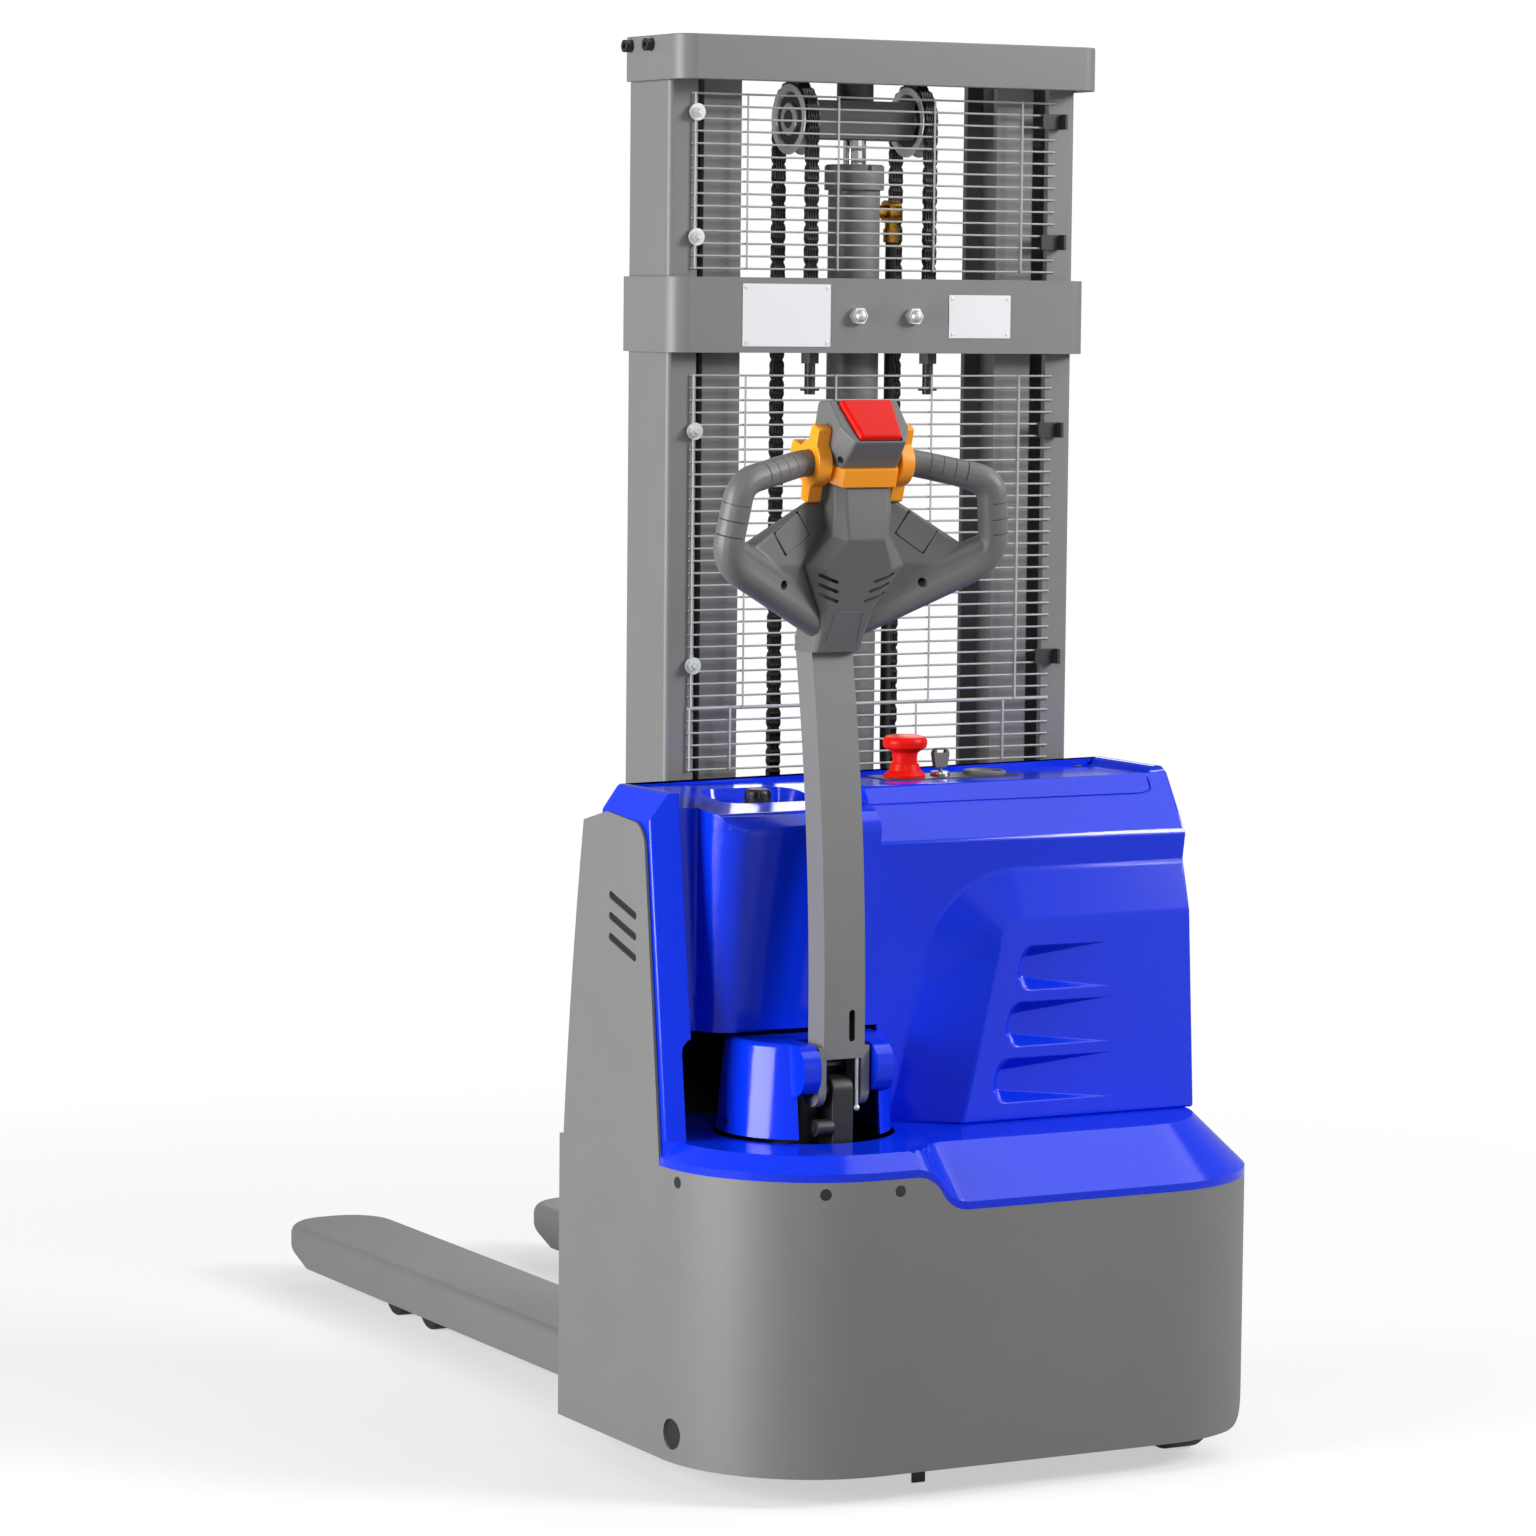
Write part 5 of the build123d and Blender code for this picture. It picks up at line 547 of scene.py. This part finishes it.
def head_shield():
    """The moulded front: collar, shield, crest, neck and the block above the band, with vents and holes."""
    shape = bmesh.new()
    slope = (-55.0 + 28.0) / (175.0 - 19.0)
    cuts = ((-24, 32, 27, 6), (72, 37, 31, 7), (134, 70, 46, 13), (175, 40, 25, 18))
    levels = [(z, head_level(half, face, -28.0 + (z - 19.0) * slope, set_back))
              for z, half, face, set_back in cuts]
    levels += [(204, head_level(40, 29, -46.0, 13)), (242, head_level(40, 29, -31.0, 13))]
    loft(shape, levels)
    ease_edges(shape, sharp_edges(shape, 8), 2.4, 3, False)
    tools = bmesh.new()
    for hand in (-1, 1):
        for row in range(3):
            line = (facing((hand * (39 - row * 3.5), -75, 121 - row * 13.5), (1, 0, 0), (0, 0, 1))
                    @ Matrix.Rotation(hand * math.radians(21), 4, "Z"))
            prism(tools, rounded(31, 4.6, 2.2, 4), -40, line)
    for start, end in (((-19, 75), (19, 75)), ((-19.4, 73), (-22, 33)), ((19.4, 73), (22, 33))):
        ends = [(x, -28.4 + (z - 19.0) * slope, z) for x, z in (start, end)]
        rod(tools, *ends, 1.1, 8)
    shape = cut(shape, tools)
    block, holes, screws = bmesh.new(), bmesh.new(), bmesh.new()
    side = [(-31, 236), (-31, 260), (-50, 300), (10, 334), (36, 324), (36, 236)]
    prism(block, side, 96, facing((-48, 0, 0), (0, 1, 0), (0, 0, 1)))
    for hand in (-1, 1):
        slice_off(block, (hand * 35, -31, 237), (hand * 26, -13, -3.92))
        out = Vector((hand * 0.887, -0.443, -0.134))
        screw = Vector((hand * 41, -28.5, 270))
        rod(holes, screw + out * 12, screw - out * 9, 4.6, 20)
        rod(screws, screw - out * 9, screw - out * 4, 4.2, 16, 0.8)
    ease_edges(block, sharp_edges(block, 15), 3.2, 3, False)
    prism(holes, [(-30.5, -32.5), (30.5, -32.5), (38.5, 32.5), (-38.5, 32.5)], 47,
          facing((0, -20, 317), (1, 0, 0), (0, 60, 34)) @ Matrix.Translation((0, 0, -17)))
    join(shape, cut(block, holes))
    place_head(shape)
    piece("tiller_head_shield", shape, PLASTIC, "tiller", ("tiller_head",), corner=30)
    bmesh.ops.transform(screws, matrix=HEAD, verts=screws.verts)
    piece("head_screws", screws, BLACK, "tiller")


def place_head(shape):
    """Takes a shape from the head's upright frame to its place, cut level where its collar ends."""
    bmesh.ops.transform(shape, matrix=HEAD, verts=shape.verts)
    slice_off(shape, (0, 0, COLLAR_END), (0, 0, -1))


def groove(tools, place, radius, depth, half_width, half_turn):
    """A cutter for a narrow groove part of the way round a bar along the local Z axis."""
    part = bmesh.new()
    turn = Matrix.Rotation(-half_turn, 4, "Z")
    profile = ((radius - depth, 0, 0), (radius + 6, 0, -half_width), (radius + 6, 0, half_width))
    face = part.faces.new([part.verts.new(turn @ Vector(point)) for point in profile])
    bmesh.ops.spin(part, geom=face.verts[:] + face.edges[:] + [face], cent=(0, 0, 0), axis=(0, 0, 1),
                   angle=2 * half_turn, steps=14)
    bmesh.ops.recalc_face_normals(part, faces=part.faces)
    join(tools, part, place)


def head_loops():
    """Both loop handles with the webs inside them, as one moulding."""
    shape, tools = bmesh.new(), bmesh.new()
    for hand in (-1, 1):
        wing = bmesh.new()
        outline = [(10, 72), (78, 72), (150, 112), (152, 158), (62, 208), (10, 208)]
        prism(wing, [(hand * x, z) for x, z in outline], 90, facing((0, 30, 0), (1, 0, 0), (0, 0, 1)))
        slice_off(wing, (0, -16, 0), (-hand * SWEEP, -1, 0))
        slice_off(wing, (0, -16, 135), (-hand * SWEEP, -1, LEAN))
        slice_off(wing, (0, 14, 0), (hand * SWEEP, 1, 0))
        ease_edges(wing, [e for e in wing.edges if e.calc_face_angle() > math.radians(30)], 3.0, 2, False)
        join(shape, wing)
        loop = [(hand * x, y, z) for x, y, z in GRIP_ROUTE]
        tube(shape, loop, GRIP_R, GRIP_SHARES)
        tube(shape, [(x, y + 7, z - 3) for x, y, z in loop[3:]], 16.0)
        for aside in (11, 21):
            blade = [(x - hand * 0.5 * aside, y + 0.35 * aside, z + 0.86 * aside) for x, y, z in loop[6:]]
            tube(shape, blade, 16.0 - 0.1 * aside)
        for points, ahead, out in ((TOP_GROOVES, (96, -35, -12), (0, -0.5, 1)),
                                   (SIDE_GROOVES, (14, -14, -98), (1, -1, 0))):
            ahead = Vector((hand * ahead[0], ahead[1], ahead[2])).normalized()
            out = Vector((hand * out[0], out[1], out[2]))
            out = (out - ahead * out.dot(ahead)).normalized()
            axes = Matrix((out, ahead.cross(out), ahead)).transposed().to_4x4()
            for x, y, z in points:
                place = Matrix.Translation((hand * x, y, z)) @ axes
                groove(tools, place, GRIP_R, 1.8, 2.2, math.radians(75))
        face = -16 - SWEEP * 98
        rod(tools, (hand * 98, face - 30, 112), (hand * 98, face + 12, 112), 5.6, 20)
        well = facing((hand * 88, -16 - SWEEP * 88 + 37 * LEAN, 172), (1, -hand * SWEEP, 0),
                      (0, LEAN, 1)) @ Matrix.Rotation(-hand * math.radians(32), 4, "Z")
        pad = [(-22.6, -17.6), (22.6, -17.6), (22.6, 17.6), (-22.6, 17.6)]
        prism(tools, pad, 20, well @ Matrix.Translation((0, 0, -6)))
        rod(tools, (hand * 48.2, 2, 256), (hand * 68.2, 2, 256), 49.6, 40)
    shape = fuse(shape, 2.0, 3)
    bmesh.ops.recalc_face_normals(tools, faces=tools.faces)
    shape = cut(shape, tools)
    place_head(shape)
    piece("tiller_head_loops", shape, PLASTIC, "tiller", ("tiller_head",), corner=50)
    cores = bmesh.new()
    for hand in (-1, 1):
        rod(cores, (hand * 44, 2, 256), (hand * 72, 2, 256), 15.6, 24)
    bmesh.ops.transform(cores, matrix=HEAD, verts=cores.verts)
    piece("throttle_axle", cores, PLASTIC, "tiller")


head_shield()
head_loops()


# Wire guards, with their fixings

def wire_guard(name, node, first, rows, heavy=-1):
    """Level wires with uprights welded across their front."""
    shape = bmesh.new()
    for row in range(rows):
        z = first + row * GUARD_PITCH
        radius = 2.4 if row == heavy else WIRE_R
        rod(shape, (-GUARD_HALF, GUARD_Y, z), (GUARD_HALF, GUARD_Y, z), radius, 8, 0.5)
    top = first + (rows - 1) * GUARD_PITCH
    middle = first + max(heavy, 0) * GUARD_PITCH
    y = GUARD_Y - 2 * WIRE_R
    for x in GUARD_BARS:
        rod(shape, (x, y, middle - 1.6), (x, y, top + 1.6), WIRE_R, 8, 0.5)
        if heavy > 0:
            aside = max(x - 18, -GUARD_HALF + 2)
            rod(shape, (aside, y, first - 1.6), (aside, y, middle + 1.6), WIRE_R, 8, 0.5)
    piece(name, shape, WIRE, "chassis", (node,))


wire_guard("upper_guard_wires", "upper_guard", UPPER_GUARD_Z, UPPER_ROWS)
wire_guard("lower_guard_wires", "lower_guard", LOWER_GUARD_Z, LOWER_ROWS, 5)


# Lift chains

PITCH = 12.7
LINK = [(-5.3, -6.4), (-2.6, -11.2), (2.6, -11.2), (5.3, -6.4), (4.3, 0), (5.3, 6.4), (2.6, 11.2),
        (-2.6, 11.2), (-5.3, 6.4), (-4.3, 0)]


def link(shape, place, wide):
    """One pitch of leaf chain along the local Z axis: a pack of link plates and the pin at its top."""
    for x in (-7.5, -3.75, 0, 3.75, 7.5) if wide else (-5.6, -1.9, 1.9, 5.6):
        prism(shape, LINK, 1.8, place @ facing((x - 0.9, 0, 0), (0, 1, 0), (0, 0, 1)))
    rod(shape, (-9.2, 0, PITCH / 2), (9.2, 0, PITCH / 2), 2.4, 8, place=place)


def strand(shape, x, y, low, high):
    """A straight run of whole links between two heights."""
    count = round((high - low) / PITCH)
    step = (high - low) / count
    for i in range(count):
        link(shape, Matrix.Translation((x, y, low + (i + 0.5) * step)), i % 2 == 0)


def chains():
    """Each chain: a front strand from its anchor, links over the wheel, a rear strand to the carriage."""
    for side, hand in ((-1, "left"), (1, "right")):
        x, front_y, rear_y = side * CHAIN_X, MAST_MID - CHAIN_R, MAST_MID + CHAIN_R
        shape = bmesh.new()
        strand(shape, x, front_y, ANCHOR_TOP, WHEEL_Z)
        front = piece(hand + "_front_chain", shape, OILED, "chassis",
                      ("front_chains",), ride=False)
        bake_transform(front)
        shape = bmesh.new()
        count = round(math.pi * CHAIN_R / PITCH)
        for i in range(count):
            turn = Matrix.Rotation(-math.pi * (i + 0.5) / count, 4, "X")
            link(shape, Matrix.Translation((x, MAST_MID, WHEEL_Z)) @ turn
                 @ Matrix.Translation((0, -CHAIN_R, 0)), i % 2 == 0)
        piece(hand + "_chain_over_wheel", shape, OILED, "inner_mast",
              ("rear_chains",))
        shape = bmesh.new()
        strand(shape, x, rear_y, LUG_TOP, WHEEL_Z)
        rear = piece(hand + "_rear_chain", shape, OILED, "inner_mast",
                     ("rear_chains",))
        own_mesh(rear)


chains()


# Chain wheels

def chain_wheels():
    """Turned wheels: a rim flange each side, a dished web and a hub."""
    places = [facing((side * CHAIN_X, MAST_MID, WHEEL_Z), (0, 1, 0), (0, 0, 1)) for side in (-1, 1)]
    half = 11.4
    profile = [(12.1, -half), (20, -half), (21, -half + 1), (21, -half + 4), (34, -half + 4),
               (36, -half + 0.6), (45, -half), (46, -half + 1), (46, -half + 1.6), (44, -half + 2.0),
               (37.6, -9.3), (37.6, 9.3), (44, half - 2.0), (46, half - 1.6), (46, half - 1), (45, half),
               (36, half - 0.6), (34, half - 4), (21, half - 4), (21, half - 1), (20, half), (12.1, half)]
    shape = bmesh.new()
    for place in places:
        turned(shape, profile + profile[:1], place, 48)
    piece("chain_wheels_turned", shape, ZINC, "chain_wheels", ("chain_wheels",))
    webs = bmesh.new()
    for place in places:
        for face in (-1, 1):
            ring = [(21.1, face * 7.0), (34.4, face * 7.0), (34.4, face * 7.9), (21.1, face * 7.9)]
            turned(webs, ring + ring[:1], place, 48)
    piece("chain_wheel_webs", webs, BLACK, "chain_wheels")


chain_wheels()


# Painted steel and castings: the solids with eased edges

EDGE_WIDTHS = (
    ("outer_channels", 2.0), ("top_crossbeam", 1.6), ("middle_crossplate", 1.4), ("skirt", 1.2),
    ("base_frame", 1.2), ("support_legs", 2.0), ("inner_mast", 2.0), ("carriage_frame", 2.0),
    ("left_fork", 2.5), ("right_fork", 2.5), ("cylinder_barrel", 1.0), ("guard_bolts", 0.6),
    ("top_mast_rollers", 1.0), ("inner_mast_rollers", 1.0), ("upper_carriage_rollers", 1.0),
    ("lower_carriage_rollers", 1.0), ("front_load_rollers", 2.0), ("rear_load_rollers", 2.0),
    ("tiller_arm", 4.0), ("tiller_bracket", 2.0), ("drive_gearbox", 3.0), ("drive_wheel", 3.0),
    ("caster_wheel", 3.0), ("caster_fork", 1.5), ("chain_anchors", 0.8), ("cylinder_clamp", 0.6),
    ("power_pack", 2.0), ("battery", 3.0), ("controller", 3.0), ("hose_fitting", 0.8), ("drive_motor", 1.0),
    ("left_turntable_cover", 3.0), ("right_turntable_cover", 3.0), ("orange_band", 2.0), ("key", 1.2),
    ("key_lock", 0.8), ("guard_clips", 0.8), ("frame_screws", 0.8), ("throttle_wings", 2.0),
    ("lift_pad", 1.2), ("lower_pad", 1.2), ("reverse_button", 4.0), ("piston_rod", 0.8),
    ("data_plates", 0.25))
for node, width in EDGE_WIDTHS:
    dress(node, width)
dress("base_cover", 4.0, 3, thin=6.0)
dress("crosshead", 2.5, finish=DIM_GREY)
dress("charge_socket", 0.8, finish=BLACK)
dress("cylinder_gland", 0.8, finish=GREY)


# Main cover

def box_front(z):
    """Where the raised box's front face stands at a height."""
    return FRONT + 174 + (z - LEDGE_TOP) * 16 / 257


def panel_front(z):
    """Where the panel behind the box stands at a height."""
    return FRONT + 238 - (z - LEDGE_TOP) * 33 / 360


def in_louvres(p):
    """Tests for the recessed louvres in the box's face."""
    return 22 + 0.276 * (p.z - LEDGE_TOP) < p.x < 224 and 452 < p.z < 668 and p.y < -650


def on_box_rim(p):
    """Tests for the two outlines of the box's slanted side: on its face, and on the panel."""
    return (-90 < p.x and LEDGE_TOP < p.z < 775 and not in_louvres(p)
            and min(abs(p.y - box_front(p.z)), abs(p.y - panel_front(p.z))) < 0.6)


def even_box_side(shape):
    """Bridges the box's slanted side afresh between its two outlines, so that its corner shades evenly."""
    side = []
    for face in shape.faces:
        p, out = face.calc_center_median() / MM, face.normal
        if (-90 < p.x and LEDGE_TOP < p.z < 775 and box_front(p.z) + 0.1 < p.y < panel_front(p.z) - 0.1
                and not in_louvres(p) and out.y < -0.2 and (out.x < -0.1 or out.z > 0.2)):
            side.append(face)
    bmesh.ops.delete(shape, geom=side, context="FACES")
    rims = [e for e in shape.edges if e.is_boundary and on_box_rim((e.verts[0].co + e.verts[1].co) / 2 / MM)]
    runs = {"left": [], "corner": [], "top": []}
    for edge in rims:
        along = edge.verts[1].co - edge.verts[0].co
        straight = "left" if abs(along.z) > abs(along.x) else "top"
        runs[straight if along.length > 60 * MM else "corner"].append(edge)
    split = bmesh.ops.subdivide_edges(shape, edges=runs["left"], cuts=7)
    runs["left"] = [e for e in split["geom_split"] if isinstance(e, bmesh.types.BMEdge)]
    for run in runs.values():
        bmesh.ops.bridge_loops(shape, edges=run)
    bmesh.ops.recalc_face_normals(shape, faces=shape.faces)


def main_cover():
    """The upper cover with eased edges and the seam of its lid."""
    shape = cad_copy("main_cover")
    even_box_side(shape)

    def on_shelf(p):
        return -335 < p.x < -100 and p.z > 815 and p.y < -620

    def elsewhere(p):
        return not in_louvres(p) and not on_shelf(p)

    edges = [e for e in sharp_edges(shape, 10, 6.0, elsewhere) if e.calc_length() > 60 * MM]
    rims = [e for e in sharp_edges(shape, 10, 0.0, on_box_rim) if e not in edges]
    ease_edges(shape, edges + rims, 4.0 * MM, 3, False)
    edges = [e for e in sharp_edges(shape, 30, 6.0, on_shelf) if e.calc_length() > 100 * MM]
    ease_edges(shape, edges, 9.0 * MM, 5, False)
    ease_edges(shape, sharp_edges(shape, 25, 0.0, in_louvres), 1.5 * MM, 2, False)
    seam = bmesh.new()
    tube(seam, [(-112, FRONT + 235, 844.5), (270, FRONT + 235, 844.5), (318, FRONT + 235, 844.5),
                (318, FRONT + 247, 863), (318, FRONT + 252, 868), (318, FRONT + 400, 868)], 1.6)
    bmesh.ops.scale(seam, vec=(MM, MM, MM), verts=seam.verts)
    dressed("main_cover", cut(shape, seam), corner=22)


main_cover()


# Small fittings

def fittings():
    """Instrument plate, plugs, black sheets behind openings as painted shade, latch rod and rivets."""
    plate = bmesh.new()
    prism(plate, rounded(196, 66, 9), 1.0, Matrix.Translation((57, CONTROL_Y, COVER_TOP)), 0.3)
    piece("instrument_plate", plate, BLACK, "chassis")
    plug = bmesh.new()
    rod(plug, (296, FRONT + 383, COVER_TOP - 1), (296, FRONT + 383, COVER_TOP + 1.6), 5.0, 20, 0.8)
    piece("cover_plug", plug, BLACK, "chassis")
    # Thin black sheets just inside the opening in the cover's left side and behind the skirt's tie hole:
    # painted shade for the dark inside
    shade_sheet = bmesh.new()
    box(shade_sheet, (-405.8, FRONT + 262, 636), (-405.3, FRONT + 388, 764), 0.1)
    rod(shade_sheet, (-406.9, *TIE_HOLE), (-406.2, *TIE_HOLE), TIE_HOLE_R - 0.1, 40, 0.2)
    piece("painted_shade_sheets", shade_sheet, RUBBER_AND_SHADE, "chassis")
    latch = bmesh.new()
    rod(latch, (STEER_X + 20, PIVOT_Y - 16, 543), (STEER_X + 20, PIVOT_Y - 16, 478), 2.6, 12, 0.4)
    bmesh.ops.create_uvsphere(latch, u_segments=16, v_segments=10, radius=4.6,
                              matrix=Matrix.Translation((STEER_X + 20, PIVOT_Y - 16, 478)))
    piece("latch_rod", latch, ZINC, "tiller")
    switch = bmesh.new()
    rod(switch, (STEER_X - 38, PIVOT_Y - 13, 455), (STEER_X - 14, PIVOT_Y - 13, 455), 11, 24, 1.2)
    rod(switch, (STEER_X - 40, PIVOT_Y - 13, 455), (STEER_X - 37, PIVOT_Y - 13, 455), 5, 16, 0.6)
    piece("brake_switch", switch, BLACK, "drive_unit")
    rivets = bmesh.new()
    for x, wide, tall in BARE_PLATES:
        for across in (-1, 1):
            for up in (-1, 1):
                spot = Vector((x + across * (wide / 2 - 5), PLATE_FRONT - 1,
                               BARE_PLATE_Z + up * (tall / 2 - 5)))
                rod(rivets, spot, spot + Vector((0, -0.9, 0)), 2.2, 14, 0.4)
    piece("plate_rivets", rivets, ZINC, "chassis")
    screw = bmesh.new()
    rod(screw, (STEER_X - 107, STEER_Y, 455), (STEER_X - 110.6, STEER_Y, 455), 4.4, 18, 0.6)
    piece("turntable_screw", screw, BLACK, "drive_unit")


fittings()


# Controls

def controls():
    """Stop button, its base and the battery gauge, turned about their own axes."""
    stop_place = Matrix.Translation((0, CONTROL_Y, 0))
    stop = bmesh.new()
    turned(stop, [(0, 924), (18, 923.4), (25.5, 921.4), (28.6, 917.5), (29, 913), (27.6, 907.5), (22, 904),
                  (17.4, 901), (16, 896), (16, 850), (14, 848), (0, 848)], stop_place, 48)
    piece("stop_button_turned", stop, RED, "stop_button", ("stop_button",))
    base = bmesh.new()
    turned(base, [(16.6, 828), (24, 828), (24, 868), (26.4, 868), (27, 869), (27, 872), (25, 874.5),
                  (20.5, 878), (18.6, 886), (16.8, 887), (16.6, 886), (16.6, 828)], stop_place, 48)
    piece("stop_base_turned", base, RED, "chassis", ("stop_base",))
    gauge = bmesh.new()
    turned(gauge, [(0, 832), (24, 832), (25, 833), (25, 868), (27.4, 868), (28, 869), (28, 872.6),
                   (26.8, 874), (24.6, 874), (23, 871.4), (0, 871.4)],
           Matrix.Translation((GAUGE_X, CONTROL_Y, 0)), 48)
    piece("battery_gauge_turned", gauge, PLASTIC, "chassis", ("battery_gauge",))
    dial = Matrix.Translation((GAUGE_X, CONTROL_Y, 871.4))
    marks = bmesh.new()
    for i in range(9):
        box(marks, (15.5, -0.7, 0), (20.5, 0.7, 0.3), 0.1,
            place=dial @ Matrix.Rotation(math.radians(30 + 15 * i), 4, "Z"))
    box(marks, (-13, -11, 0), (13, -5, 0.3), 0.1, place=dial)
    piece("gauge_marks", marks, PLATE, "chassis")


controls()
